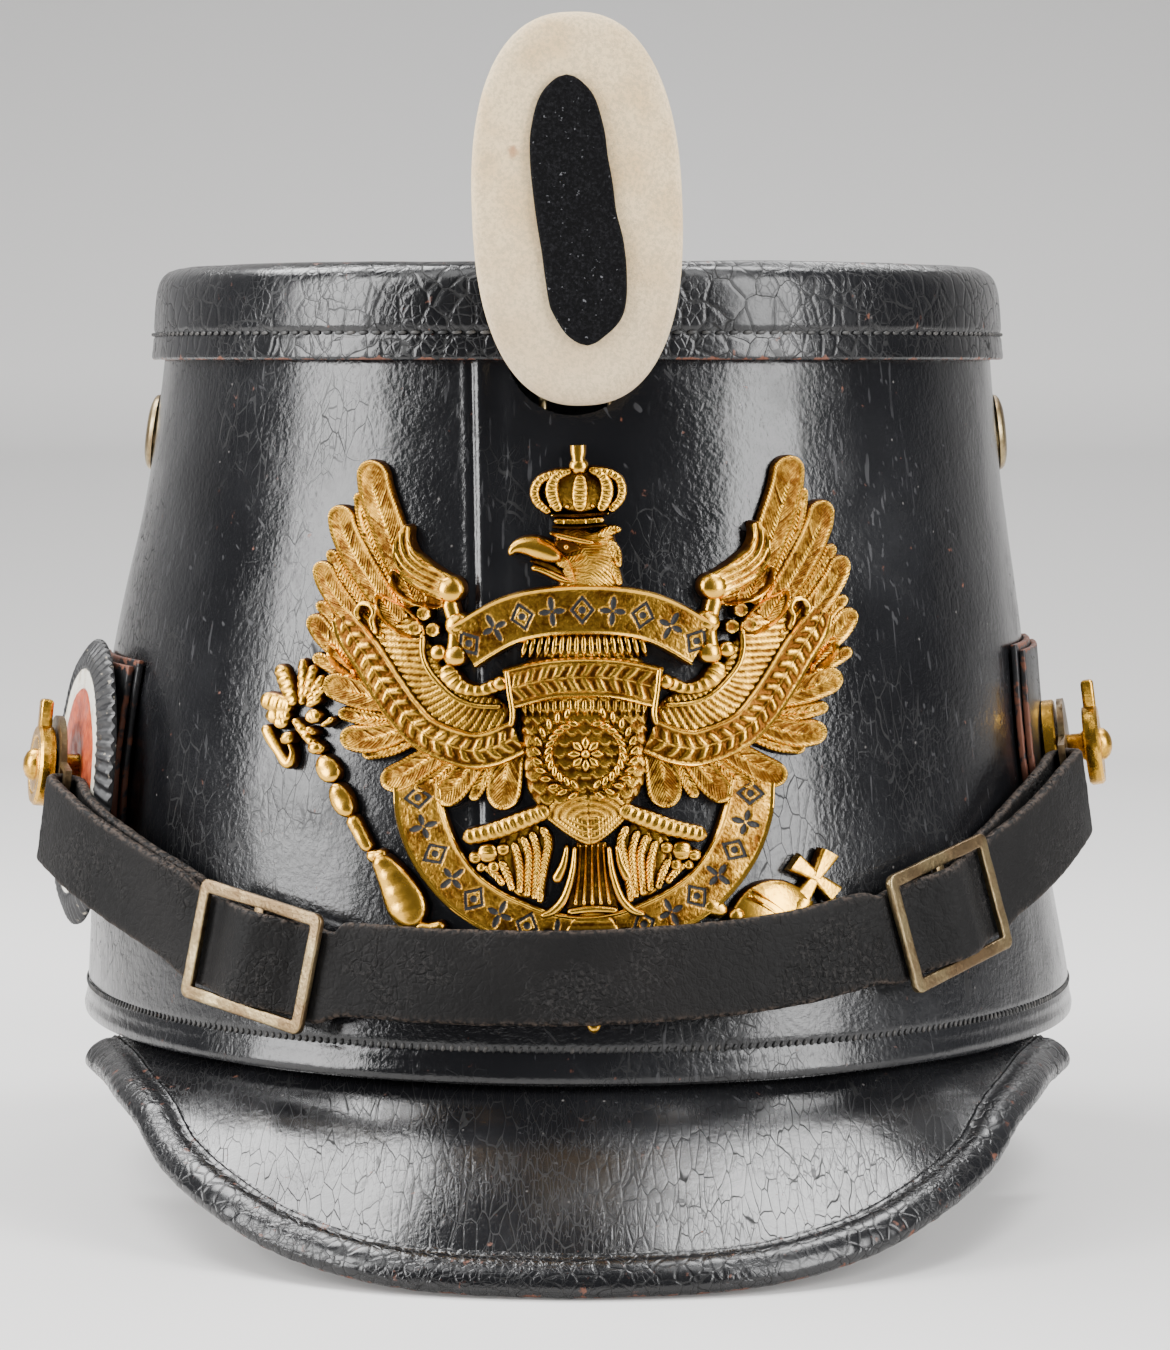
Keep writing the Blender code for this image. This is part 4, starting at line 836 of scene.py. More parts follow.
def metal(name, bright, dull, tarnish, rough, stained):
    """Aged metal: bright where the polish mark is high, dull where it is low, which is patina and painted
    shade in the recesses, with tarnish clouds.
    """
    material, tree, shader = new_material(name)
    place = object_place(tree)
    polish_and_shade = node(tree, "Attribute", attribute_name="polish_and_shade").outputs["Fac"]
    blotch = cloud(tree, place, 230.0, 4.0, 0.62)
    speck = cloud(tree, place, 1500.0, 2.0)
    high = math_node(tree, "ADD", polish_and_shade, math_node(tree, "MULTIPLY_ADD", blotch, 1.1, -0.55))
    high = math_node(tree, "ADD", high, math_node(tree, "MULTIPLY_ADD", speck, 0.5, -0.25))
    tone = mixed(tree, ramp(tree, high, 0.10, 0.80), dull, bright)
    stain = ramp(tree, cloud(tree, place, 95.0, 3.0, 0.6), 0.52 - 0.2 * stained, 0.80 - 0.2 * stained)
    tone = mixed(tree, math_node(tree, "MULTIPLY", stain, stained), tone, tarnish)
    ink = node(tree, "Attribute", attribute_name="ink").outputs["Fac"]
    cut = ramp(tree, ink, 0.35, 0.65)
    tone = mixed(tree, cut, tone, FILLED_BLACK)
    socket(shader, "Base Color", tone)
    socket(shader, "Metallic", math_node(tree, "MULTIPLY_ADD", cut, -0.9, 1.0))
    coarse = ramp(tree, high, 0.1, 0.8, rough + 0.16, rough)
    socket(shader, "Roughness", math_node(tree, "MULTIPLY_ADD", cut, 0.25, coarse))
    barb = node(tree, "Attribute", attribute_name="barb").outputs["Fac"]
    lines = math_node(tree, "SINE", math_node(tree, "MULTIPLY", barb, 9.0))
    low = math_node(tree, "SUBTRACT", 1.0, ramp(tree, polish_and_shade, 0.3, 0.7))
    pits = math_node(tree, "MULTIPLY", speck, math_node(tree, "MULTIPLY_ADD", low, 1.3, 0.35))
    height = math_node(tree, "MULTIPLY_ADD", lines, 0.45, pits)
    height = math_node(tree, "MULTIPLY_ADD", cloud(tree, place, 330.0, 3.0), 0.5, height)
    bumped(tree, shader, 0.5, 0.00020, height)
    return material


def worn(piece, value=0.6):
    """Even polish for a plain metal piece."""
    mark(piece, "polish_and_shade", [value] * len(piece.data.vertices))
    return piece


gilt = metal("gilt_brass", *GILT, rough=0.25, stained=0.30)
old_brass = metal("aged_brass", *OLD_BRASS, rough=0.33, stained=0.80)
for label, post in POSTS.items():
    here = post_turn(post)
    drum_top = DRUM_FOOT + post["drum"]
    profile = [(0.0, HEAD_TOP + 0.0020), (0.0012, HEAD_TOP + 0.00185), (0.0022, HEAD_TOP + 0.0014),
               (0.0029, HEAD_TOP + 0.0007), (0.0031, HEAD_TOP), (0.0050, HEAD_TOP - 0.0001),
               (0.0053, HEAD_TOP - 0.0004), (0.0056, HEAD_TOP - 0.0001), (0.0071, HEAD_TOP - 0.0001),
               (HEAD_RADIUS, HEAD_TOP - 0.0006), (HEAD_RADIUS, HEAD_FOOT + 0.0005),
               (HEAD_RADIUS - 0.0004, HEAD_FOOT),
               (0.0030, HEAD_FOOT - 0.0002), (NECK_RADIUS, HEAD_FOOT - 0.0008),
               (NECK_RADIUS, drum_top + 0.0002), (DRUM_RADIUS - 0.0003, drum_top),
               (DRUM_RADIUS, drum_top - 0.0003), (DRUM_RADIUS, DRUM_FOOT), (0.0020, DRUM_FOOT),
               (0.0020, -0.0061), (0.0, -0.0061)]
    piece = turned("post_" + label, profile, here)
    bpy.ops.mesh.primitive_cube_add(size=1.0)
    tab = bpy.context.object
    tab.data.transform(here @ Matrix.Translation((0.0, HEAD_RADIUS + 0.0018, HEAD_FOOT + 0.0016))
                       @ Matrix.Diagonal((*POST_TAB, 1.0)))
    finish(tab, "BEVEL", width=0.0007, segments=4)
    piece = join("post_" + label, [piece, tab])
    settle(worn(piece), gilt, "gilt_brass", "side_post_" + label)
    nut = [(0.0023, -0.0040), (0.0052, -0.0040), (0.0055, -0.0043), (0.0055, -0.0058),
           (0.0023, -0.0058), (0.0023, -0.0040)]
    settle(worn(turned("nut_" + label, nut, here, 48)), old_brass, "aged_brass",
           "post_nut_" + label)
    vent = turned("vent_" + label, VENT_PROFILE, wall_turn(post["side"] * math.pi / 2, VENT_HEIGHT))
    settle(worn(vent), old_brass, "aged_brass", "vent_" + label)

# ---------------------------------------------------------------- cockade
# A disc of thin painted tin on the left post: an orange-red middle, a white ring and a black
# rim that is pressed in slanting folds.
COCKADE_RADIUS = 26.8
COCKADE_RINGS = (17.4, 21.0)  # red ends, white ends, in millimetres from the middle
COCKADE_FOLDS = 66
COCKADE_DROP = 0.0024
COCKADE_PROFILE = (  # distance from the middle, height of the face
    (5.2, 0.35), (9.0, 0.75), (16.8, 0.55), (17.4, 0.35), (18.0, 0.60), (20.4, 0.60),
    (21.0, 0.40), (21.8, 0.55), (24.0, 0.05), (26.2, -1.10), (26.8, -1.70),
)
COCKADE_STEPS = 74
COCKADE_EYE = 5.2
COCKADE_RIM = 21.2  # where the folds start
COCKADE_BACK = (-2.3, -0.3)  # height of the back at the rim and at the eye
COCKADE_REDS = ((0.44, 0.070, 0.018), (0.24, 0.030, 0.010))
COCKADE_WHITES = ((0.66, 0.63, 0.54), (0.36, 0.31, 0.22))
COCKADE_BLACK = (0.012, 0.012, 0.013)
CHIPPED_TIN = (0.30, 0.26, 0.20)


def cockade_surface(u, v):
    i = round(v * (COCKADE_STEPS + 3)) % (COCKADE_STEPS + 3)
    reach = COCKADE_EYE + (COCKADE_RADIUS - COCKADE_EYE) * min(i, COCKADE_STEPS) / COCKADE_STEPS
    height = straight(COCKADE_PROFILE, reach)[0]
    turn = math.tau * u
    if reach > COCKADE_RIM:
        fold = math.sin(COCKADE_FOLDS * turn + (reach - COCKADE_RIM) * 0.9)
        height += 0.34 * min(1.0, (reach - COCKADE_RIM) / 1.2) * fold
    height += 0.25 * noise.noise(Vector((math.cos(turn) * 2, math.sin(turn) * 2, reach * 0.08)))
    if i > COCKADE_STEPS:
        at_rim = i == COCKADE_STEPS + 1
        reach = COCKADE_RADIUS - 0.2 if at_rim else COCKADE_EYE
        height = COCKADE_BACK[0] if at_rim else COCKADE_BACK[1]
    cockade_reach.append(reach)
    point = Vector((reach * math.cos(turn), reach * math.sin(turn), height))
    return cockade_turn @ (point * 0.001)


cockade_turn = post_turn(POSTS["left"]) @ Matrix.Translation((0.0, -COCKADE_DROP, 0.0052))
cockade_reach = []
cockade = sheet("tin_cockade", 600, COCKADE_STEPS + 3, cockade_surface)
mark(cockade, "reach", cockade_reach)
close(cockade)
tin, tree, shader = new_material("painted_tin")
place = object_place(tree)
reach = node(tree, "Attribute", attribute_name="reach").outputs["Fac"]
ragged = math_node(tree, "MULTIPLY_ADD", cloud(tree, place, 500.0, 3.0), 0.5, -0.25)
reach = math_node(tree, "ADD", reach, ragged)
red = mixed(tree, ramp(tree, cloud(tree, place, 700.0, 4.0), 0.35, 0.7), *COCKADE_REDS)
white = mixed(tree, ramp(tree, cloud(tree, place, 260.0, 4.0), 0.45, 0.8), *COCKADE_WHITES)
tone = mixed(tree, ramp(tree, reach, COCKADE_RINGS[0] - 0.12, COCKADE_RINGS[0] + 0.12), red, white)
tone = mixed(tree, ramp(tree, reach, COCKADE_RINGS[1] - 0.12, COCKADE_RINGS[1] + 0.12), tone,
             COCKADE_BLACK)
chips = ramp(tree, cloud(tree, place, 900.0, 3.0), 0.66, 0.70)
chips = math_node(tree, "MULTIPLY", chips, ramp(tree, reach, 22.0, 25.0))
tone = mixed(tree, chips, tone, CHIPPED_TIN)
socket(shader, "Base Color", tone)
socket(shader, "Roughness", ramp(tree, cloud(tree, place, 400.0, 3.0), 0.3, 0.7, 0.30, 0.55))
bumped(tree, shader, 0.4, 0.0002, cloud(tree, place, 900.0, 3.0))
settle(cockade, tin, "painted_tin", "cockade", angle=50.0)

# ---------------------------------------------------------------- chin strap
# One long strap of dull black leather: from the buried end at the left buckle it turns round
# the left lug, comes back through the buckle, crosses the front and ends so on the right.
STRAP_WIDTH = 0.0162
STRAP_THICK = 0.0020
STRAP_TURN_RADIUS = 0.0027
STRAP_SIDES = {  # angle from the front, height, off the wall for the inner and outer layer
    "left": ((66.0, 0.0685, None, None), (62.0, 0.0660, 0.0090, 0.0127),
             (58.0, 0.0634, 0.0083, 0.0116), (52.0, 0.0590, 0.0056, 0.0086),
             (45.5, 0.0542, 0.0028, 0.0056)),
    "right": ((73.0, 0.0722, None, None), (68.5, 0.0694, 0.0046, 0.0094),
              (63.5, 0.0664, 0.0030, 0.0082), (57.5, 0.0628, 0.0022, 0.0066),
              (53.5, 0.0603, 0.0020, 0.0052)),
}
STRAP_FRONT = (  # angle, height, off the wall
    (-24.0, 0.0480, 0.0046), (-16.0, 0.0478, 0.0045), (-8.0, 0.0477, 0.0045),
    (0.0, 0.0478, 0.0045), (8.0, 0.0483, 0.0045), (16.0, 0.0490, 0.0045),
    (24.0, 0.0503, 0.0045), (32.0, 0.0524, 0.0045),
)
BUCKLE_ANGLES = {"left": (-34.5, 0.0488), "right": (42.5, 0.0551)}
BUCKLE_PASS = (  # from the centre bar, off the wall for the outer and inner layer
    (0.0156, 0.0035, 0.0007), (0.0120, 0.0037, 0.0010), (0.0088, 0.0044, 0.0013),
    (0.0050, 0.0064, 0.0018), (0.0018, 0.0080, 0.0026), (0.0000, 0.0083, 0.0030),
)
STRAP_COLUMNS = 620
STRAP_BLACKS = ((0.0040, 0.0038, 0.0038), (0.0085, 0.0078, 0.0076))
STRAP_FLAKES = (0.026, 0.024, 0.023)
STRAP_EDGE_BROWN = (0.10, 0.075, 0.060)


def strap_height(angle):
    rows = [(-row[0], row[1]) for row in STRAP_SIDES["left"]] + [BUCKLE_ANGLES["left"]]
    rows += [row[:2] for row in STRAP_FRONT] + [BUCKLE_ANGLES["right"]]
    rows += [row[:2] for row in reversed(STRAP_SIDES["right"])]
    near = [straight(rows, angle + shift)[0] for shift in (-4.0, 0.0, 4.0)]
    return (near[0] + 2 * near[1] + near[2]) / 4


def strap_frame(angle):
    """The strap's foot on the wall, the outward direction there and the strap's own run."""
    turn = math.radians(angle)
    outward = wall_turn(turn, strap_height(angle)).col[2].to_3d()
    ahead = wall(math.radians(angle + 1), strap_height(angle + 1))
    behind = wall(math.radians(angle - 1), strap_height(angle - 1))
    return wall(turn, strap_height(angle)), outward, (ahead - behind).normalized()


def strap_station(angle, off):
    point, outward, along = strap_frame(angle)
    return point + outward * off, outward.cross(along).normalized()


def buckle_stations(label, outer):
    point, outward, along = strap_frame(BUCKLE_ANGLES[label][0])
    side = POSTS[label]["side"]
    if outer:
        passes = [(-place, off) for place, off, _ in BUCKLE_PASS]
        passes += [(place, off) for place, off, _ in reversed(BUCKLE_PASS[:-1])]
    else:
        passes = [(side * place, off) for place, _, off in reversed(BUCKLE_PASS)]
    across = outward.cross(along).normalized()
    return [(point + along * place + outward * off, across) for place, off in passes]


def lug_turn(label):
    """The lug's bar for the strap: its centre, the way to the post, and the strap's turn."""
    rows = STRAP_SIDES[label]
    side = POSTS[label]["side"]
    here = post_turn(POSTS[label])
    outward = here.col[2].to_3d()
    foot, _, along = strap_frame(side * rows[0][0])
    forward = (along - outward * along.dot(outward)).normalized() * -side
    plane = here.translation + outward * POSTS[label]["lug"]
    centre = foot + outward * (plane - foot).dot(outward)
    across = outward.cross(forward * -side).normalized()
    stations = []
    for i in range(9):
        turn = math.pi * i / 8
        place = centre - outward * STRAP_TURN_RADIUS * math.cos(turn)
        stations.append((place - forward * STRAP_TURN_RADIUS * math.sin(turn), across))
    return centre, forward, stations


def strap_half(label):
    rows = STRAP_SIDES[label][1:]
    side = POSTS[label]["side"]
    inner = [strap_station(side * row[0], row[2]) for row in reversed(rows)]
    outer = [strap_station(side * row[0], row[3]) for row in rows]
    return buckle_stations(label, False) + inner + lug_turn(label)[2] + outer


stations = strap_half("left") + buckle_stations("left", True)
stations += [strap_station(row[0], row[2]) for row in STRAP_FRONT]
stations += buckle_stations("right", True) + list(reversed(strap_half("right")))
strap_line = [(0.0, *stations[0][0], *stations[0][1])]
for before, now in zip(stations, stations[1:]):
    strap_line.append((strap_line[-1][0] + (now[0] - before[0]).length, *now[0], *now[1]))
strap_length = strap_line[-1][0]


def outline(half_width, half_height, radius, side_steps, corner_steps):
    """Points round a rectangle with rounded corners; side_steps are for width and height."""
    corners = ((1, 1), (-1, 1), (-1, -1), (1, -1))
    arcs = []
    for k, (x, y) in enumerate(corners):
        middle = Vector((x * (half_width - radius), y * (half_height - radius)))
        turns = [math.pi / 2 * (k + i / corner_steps) for i in range(corner_steps + 1)]
        arcs.append([middle + Vector((math.cos(turn), math.sin(turn))) * radius for turn in turns])
    points = []
    for k, arc in enumerate(arcs):
        steps = side_steps[k % 2]
        points += arc
        points += [arc[-1].lerp(arcs[(k + 1) % 4][0], i / steps) for i in range(1, steps)]
    return points


strap_section = outline(STRAP_WIDTH / 2, STRAP_THICK / 2, 0.0008, (20, 2), 4)
strap_section.append(strap_section[0])
strap_wear = []


def strap_surface(u, v):
    reach = strap_length * u
    values = smooth(strap_line, reach)
    middle, across = Vector(values[:3]), Vector(values[3:]).normalized()
    before = Vector(smooth(strap_line, max(reach - 0.0008, 0.0))[:3])
    after = Vector(smooth(strap_line, min(reach + 0.0008, strap_length))[:3])
    thick = (after - before).cross(across).normalized()
    wide, rise = strap_section[round(v * (len(strap_section) - 1))]
    swell = 0.00010 * noise.noise(Vector((reach * 500, wide * 500, 1.0)))
    swell += 0.00020 * noise.noise(Vector((reach * 130, wide * 150, 5.0)))
    nibble = 0.00025 * noise.noise(Vector((reach * 260, wide * 90, 9.0)))
    strap_wear.append(max(0.0, (abs(wide) - 0.0072) / 0.0009))
    return (middle + across * (wide + math.copysign(nibble, wide))
            + thick * (rise + math.copysign(swell, rise)))


strap = sheet("chin_strap_leather", STRAP_COLUMNS, len(strap_section) - 1, strap_surface)
mark(strap, "wear", strap_wear)
close(strap)
cap_ends(strap)
dull, tree, shader = new_material("strap_leather")
place = object_place(tree)
grain = cloud(tree, place, 1150.0, 3.0, 0.6)
scales = placed_group(tree, CRAZING, Vector=place, Scale=620.0, Width=0.14, Warp=0.003)
patchy = ramp(tree, cloud(tree, place, 70.0, 5.0, 0.65), 0.46, 0.62)
flakes = math_node(tree, "MULTIPLY", ramp(tree, cloud(tree, place, 1500.0, 2.0), 0.50, 0.62), patchy)
tone = mixed(tree, ramp(tree, cloud(tree, place, 30.0, 4.0), 0.3, 0.7), *STRAP_BLACKS)
tone = mixed(tree, math_node(tree, "MULTIPLY", flakes, 0.6), tone, STRAP_FLAKES)
worn_edge = node(tree, "Attribute", attribute_name="wear").outputs["Fac"]
worn_edge = math_node(tree, "MULTIPLY", worn_edge, ramp(tree, grain, 0.42, 0.60))
tone = mixed(tree, math_node(tree, "MULTIPLY", worn_edge, 0.7), tone, STRAP_EDGE_BROWN)
socket(shader, "Base Color", tone)
rough = math_node(tree, "MULTIPLY_ADD", grain, 0.30, 0.48)
socket(shader, "Roughness", rough)
socket(shader, "Specular IOR Level", 0.14)
height = math_node(tree, "MULTIPLY_ADD", grain, 0.9, math_node(tree, "MULTIPLY", flakes, 0.5))
height = math_node(tree, "MULTIPLY_ADD", scales.outputs["Pillow"],
                   math_node(tree, "MULTIPLY_ADD", patchy, 0.6, 0.15), height)
bumped(tree, shader, 0.8, 0.00028, height)
settle(strap, dull, "strap_leather", "chin_strap", angle=50.0)

# ---------------------------------------------------------------- strap lugs and buckles
# Flat cast brass, aged brown: a plate on each post's neck with a window for the strap, and
# two square buckle frames with a bar across the middle.
LUG_EYE_RADIUS = 0.0095
LUG_THICK = 0.0012
LUG_BAR = 0.0025
LUG_WINDOW = 0.0042
LUG_HALF_WINDOW = 0.0088
LUG_ARM = 0.0010
BUCKLE_HALF = (0.0145, 0.0107)
BUCKLE_BAR = 0.0023
BUCKLE_THICK = 0.0013
BUCKLE_STAND = 0.0058


def block(size, place, matrix):
    bpy.ops.mesh.primitive_cube_add(size=1.0)
    piece = bpy.context.object
    piece.data.transform(matrix @ Matrix.Translation(place) @ Matrix.Diagonal((*size, 1.0)))
    return piece


def lug(label):
    post = POSTS[label]
    centre, forward, _ = lug_turn(label)
    here = post_turn(post)
    outward = here.col[2].to_3d()
    away = -forward
    matrix = Matrix((away, outward.cross(away), outward)).transposed().to_4x4()
    matrix.translation = here.translation + outward * post["lug"]
    bar = matrix.inverted() @ centre
    piece = cylinder("lug_" + label, LUG_EYE_RADIUS, LUG_THICK, (0, 0, 0), sides=72)
    piece.data.transform(matrix)
    far = bar.x - LUG_BAR / 2
    width = -0.0050 - far
    plate = block((width, 2 * (LUG_HALF_WINDOW + LUG_ARM), LUG_THICK),
                  (far + width / 2, bar.y, 0.0), matrix)
    window = block((LUG_WINDOW, 2 * LUG_HALF_WINDOW, 0.010),
                   (bar.x + LUG_BAR / 2 + LUG_WINDOW / 2, bar.y, 0.0), matrix)
    eye = cylinder("eye", NECK_RADIUS + 0.0002, 0.010, (0, 0, 0))
    eye.data.transform(matrix)
    for cutter, operation in ((plate, "UNION"), (window, "DIFFERENCE"), (eye, "DIFFERENCE")):
        finish(piece, "BOOLEAN", operation=operation, object=cutter)
        bpy.data.objects.remove(cutter)
    return finish(piece, "BEVEL", width=0.00025, segments=2, limit_method="ANGLE",
                  angle_limit=math.radians(50))


def buckle(label):
    point, outward, along = strap_frame(BUCKLE_ANGLES[label][0])
    matrix = Matrix((along, outward.cross(along), outward)).transposed().to_4x4()
    matrix.translation = point + outward * BUCKLE_STAND
    width, height = BUCKLE_HALF
    outer = outline(width, height, 0.0016, (30, 24), 6)
    inner = outline(width - BUCKLE_BAR, height - BUCKLE_BAR, 0.0004, (30, 24), 6)
    section = outline(BUCKLE_BAR / 2, BUCKLE_THICK / 2, 0.0003, (4, 2), 3)

    def place(u, v):
        i = round(u * len(outer)) % len(outer)
        reach, rise = section[round(v * len(section)) % len(section)]
        flat = inner[i].lerp(outer[i], reach / BUCKLE_BAR + 0.5)
        point = Vector((flat.x, flat.y, rise))
        dent = 0.00010 * noise.noise(point * 260 + Vector((BUCKLE_ANGLES[label][0], 0, 0)))
        return matrix @ (point + Vector((dent, dent, dent)))

    frame_piece = sheet("buckle_" + label, len(outer), len(section), place, closed=True)
    bar = block((BUCKLE_BAR, 2 * height - BUCKLE_BAR, BUCKLE_THICK * 0.92), (0, 0, 0), matrix)
    finish(bar, "BEVEL", width=0.0003, segments=2)
    return join("buckle_" + label, [frame_piece, bar])


for label in POSTS:
    settle(worn(lug(label), 0.45), old_brass, "aged_brass", "strap_lug_" + label)
    settle(worn(buckle(label), 0.5), old_brass, "aged_brass", "buckle_" + label)

# ---------------------------------------------------------------- field badge
# A flat oval of cream woollen cloth over a stiff form, with an uneven patch of black felt. A
# bent brass wire behind it pushes down through the scoop in the body.
BADGE_HALF = (0.0181, 0.0337)
BADGE_ROUNDNESS = 2.4
BADGE_CENTRE = (0.0, -0.0897, 0.1795)
BADGE_TILT = math.radians(2.0)
BADGE_PROFILE = (  # share from the front's middle to the back's, share of the outline, along Y
    (0.00, 0.000, -0.00335), (0.40, 0.860, -0.00330), (0.48, 0.940, -0.00290),
    (0.54, 0.982, -0.00200), (0.60, 1.000, -0.00060), (0.68, 0.996, 0.00120),
    (0.74, 0.965, 0.00270), (0.80, 0.900, 0.00325), (1.00, 0.000, 0.00330),
)
FELT_ROWS = (  # across, height, half width: millimetres from the badge's middle
    (-1.0, 22.9, 2.6), (-1.1, 19.6, 4.6), (-1.2, 13.5, 6.3), (-1.1, 8.4, 6.7), (-0.6, 3.3, 6.9),
    (-0.1, -1.8, 6.9), (0.75, -6.9, 7.1), (1.15, -12.0, 7.0), (1.25, -17.1, 6.4),
    (1.0, -21.0, 4.6), (1.0, -23.5, 2.4),
)
FELT_THICK = 0.9
WOOL_CREAMS = ((0.88, 0.68, 0.39), (0.77, 0.55, 0.28))
WOOL_LOWER_TONE = (0.62, 0.50, 0.34)
WOOL_SHADE = (0.42, 0.32, 0.20)
STAIN_BROWN = (0.45, 0.21, 0.09)
STAIN_PLACE = (-0.0109, -0.0931, 0.1892)
FELT_BLACKS = ((0.0022, 0.0022, 0.0026), (0.016, 0.016, 0.018))
LINT_GREY = (0.12, 0.12, 0.13)
PRONG_RADIUS = 0.00075
PRONG_ROUTE = (
    (0.0060, -0.0853, 0.1526), (0.0060, -0.0851, 0.1500), (0.0060, -0.0837, 0.1480),
    (0.0060, -0.0807, 0.1476), (0.0060, -0.0801, 0.1450), (0.0060, -0.0818, 0.1380),
    (0.0042, -0.0830, 0.1320),
)


def badge_surface(u, v):
    share, along = smooth(BADGE_PROFILE, v)
    turn = math.tau * u
    cosine, sine = math.cos(turn), math.sin(turn)
    x = BADGE_HALF[0] * math.copysign(abs(cosine) ** (2 / BADGE_ROUNDNESS), cosine) * share
    z = BADGE_HALF[1] * math.copysign(abs(sine) ** (2 / BADGE_ROUNDNESS), sine) * share
    lump = 0.00022 * noise.noise(Vector((x * 110, z * 90, 2.0)))
    return badge_turn @ Vector((x, along - lump, z))


def stamp(name, rows, relief, lay, pitch=0.3, back=0.1, ends=(True, True)):
    """A raised form over a strip: its face, a rim down to the back, and the flat back.

    Rows hold across, height and half width in millimetres. Relief gives the depth, and the
    marks polish (worn polish and patina, with painted shade in the recesses), ink and barb, at a
    distance along, off the middle line and in from the edge.
    """
    line = [(0.0, *rows[0])]
    for before, row in zip(rows, rows[1:]):
        line.append((line[-1][0] + math.dist(before[:2], row[:2]), *row))
    length = line[-1][0]
    columns = max(6, round(length / pitch)) + 4
    lines = max(4, 2 * round(max(row[2] for row in rows) / pitch)) + 4
    marks = []

    def place(u, v):
        i, j = round(u * columns), round(v * lines)
        along = length * min(max((i - 2) / (columns - 4), 0.0), 1.0)
        share = 2 * min(max((j - 2) / (lines - 4), 0.0), 1.0) - 1
        if i in (0, columns) or j in (0, lines):
            share = 0.0
        across, height, half = smooth(line, along)
        one = smooth(line, max(along - 0.1, 0.0))
        two = smooth(line, min(along + 0.1, length))
        run = Vector((two[0] - one[0], two[1] - one[1])).normalized()
        from_end = min(half, along if ends[0] else half, length - along if ends[1] else half)
        off = share * math.sqrt(max(0.0, half ** 2 - (half - from_end) ** 2))
        edge = max(0.0, half - math.hypot(half - from_end, off))
        depth, *values = relief(along, off, edge, half, length)
        marks.append(values)
        if i < 2 or i > columns - 2 or j < 2 or j > lines - 2:
            depth = back
        return lay(across - run.y * off, height + run.x * off, depth)

    piece = sheet(name, columns, lines, place)
    for label, values in zip(("polish_and_shade", "ink", "barb"), zip(*marks)):
        mark(piece, label, values)
    close(piece)
    return piece


def rounded(edge, width):
    """Rise of a rounded border: 0 at the edge and 1 from width inwards."""
    share = min(1.0, max(0.0, edge / width))
    return math.sqrt(share * (2.0 - share))


badge_turn = Matrix.Translation(BADGE_CENTRE) @ Matrix.Rotation(-BADGE_TILT, 4, "Y")
badge = sheet("field_badge_cloth", 180, 70, badge_surface, closed=True)
wool, tree, shader = new_material("cream_cloth")
place = object_place(tree)
fibre = cloud(tree, place, 1500.0, 5.0, 0.72)
tone = mixed(tree, ramp(tree, cloud(tree, place, 120.0, 4.0), 0.35, 0.7), *WOOL_CREAMS)
# The cloth is made darker towards its bottom.
low_end = ramp(tree, node(tree, "SeparateXYZ", {0: place}).outputs["Z"], 0.150, 0.185, 1.0, 0.0)
tone = mixed(tree, math_node(tree, "MULTIPLY", low_end, 0.45), tone, WOOL_LOWER_TONE)
tone = mixed(tree, ramp(tree, fibre, 0.40, 0.58, 0.45, 0.0), tone, WOOL_SHADE)
spot = node(tree, "VectorMath", {0: place, 1: STAIN_PLACE}, operation="DISTANCE")
stain = ramp(tree, math_node(tree, "MULTIPLY_ADD", cloud(tree, place, 900.0, 3.0), 0.0016,
                             spot.outputs["Value"]), 0.0012, 0.0022, 0.8, 0.0)
tone = mixed(tree, stain, tone, STAIN_BROWN)
socket(shader, "Base Color", tone)
socket(shader, "Roughness", 0.92)
socket(shader, "Sheen Weight", 0.15)
socket(shader, "Sheen Roughness", 0.6)
bumped(tree, shader, 0.9, 0.00045, fibre)
settle(badge, wool, "white_wool", "field_badge", angle=60.0)


def lay_felt(across, height, depth):
    return badge_turn @ Vector((across / 1000, -0.0037 - depth / 1000, height / 1000))


def felt_relief(along, off, edge, half, length):
    nap = 0.10 * noise.noise(Vector((along * 1.9, off * 1.9, 0.0)))
    return FELT_THICK * (0.35 + 0.65 * rounded(edge, 0.9)) + nap, 0.0, 0.0, 0.0


felt = stamp("badge_felt", FELT_ROWS, felt_relief, lay_felt, pitch=0.35)
nap, tree, shader = new_material("black_felt")
place = object_place(tree)
fibre = cloud(tree, place, 2200.0, 4.0, 0.7)
lint = ramp(tree, cloud(tree, place, 1300.0, 2.0), 0.70, 0.74)
tone = mixed(tree, ramp(tree, fibre, 0.45, 0.75), *FELT_BLACKS)
tone = mixed(tree, lint, tone, LINT_GREY)
socket(shader, "Base Color", tone)
socket(shader, "Roughness", 1.0)
socket(shader, "Specular IOR Level", 0.12)
socket(shader, "Sheen Weight", 0.02)
bumped(tree, shader, 1.0, 0.0004, fibre)
settle(felt, nap, "black_felt", "badge_centre", angle=60.0)

wire = bpy.data.curves.new("prong_wire", "CURVE")
wire.dimensions = "3D"
wire.bevel_depth = PRONG_RADIUS
wire.bevel_resolution = 4
wire.use_fill_caps = True
route = wire.splines.new("NURBS")
places = list(PRONG_ROUTE) + [(-x, y, z) for x, y, z in reversed(PRONG_ROUTE)]
route.points.add(len(places) - 1)
route.use_endpoint_u = True
route.order_u = 3
for point, place in zip(route.points, places):
    point.co = (*place, 1.0)
prong = bpy.data.objects.new("badge_prong_wire", wire)
bpy.context.collection.objects.link(prong)
pick(prong)
bpy.ops.object.convert(target="MESH")
prong = bpy.context.object
close(prong)
settle(worn(prong, 0.9), old_brass, "aged_brass", "badge_prong")
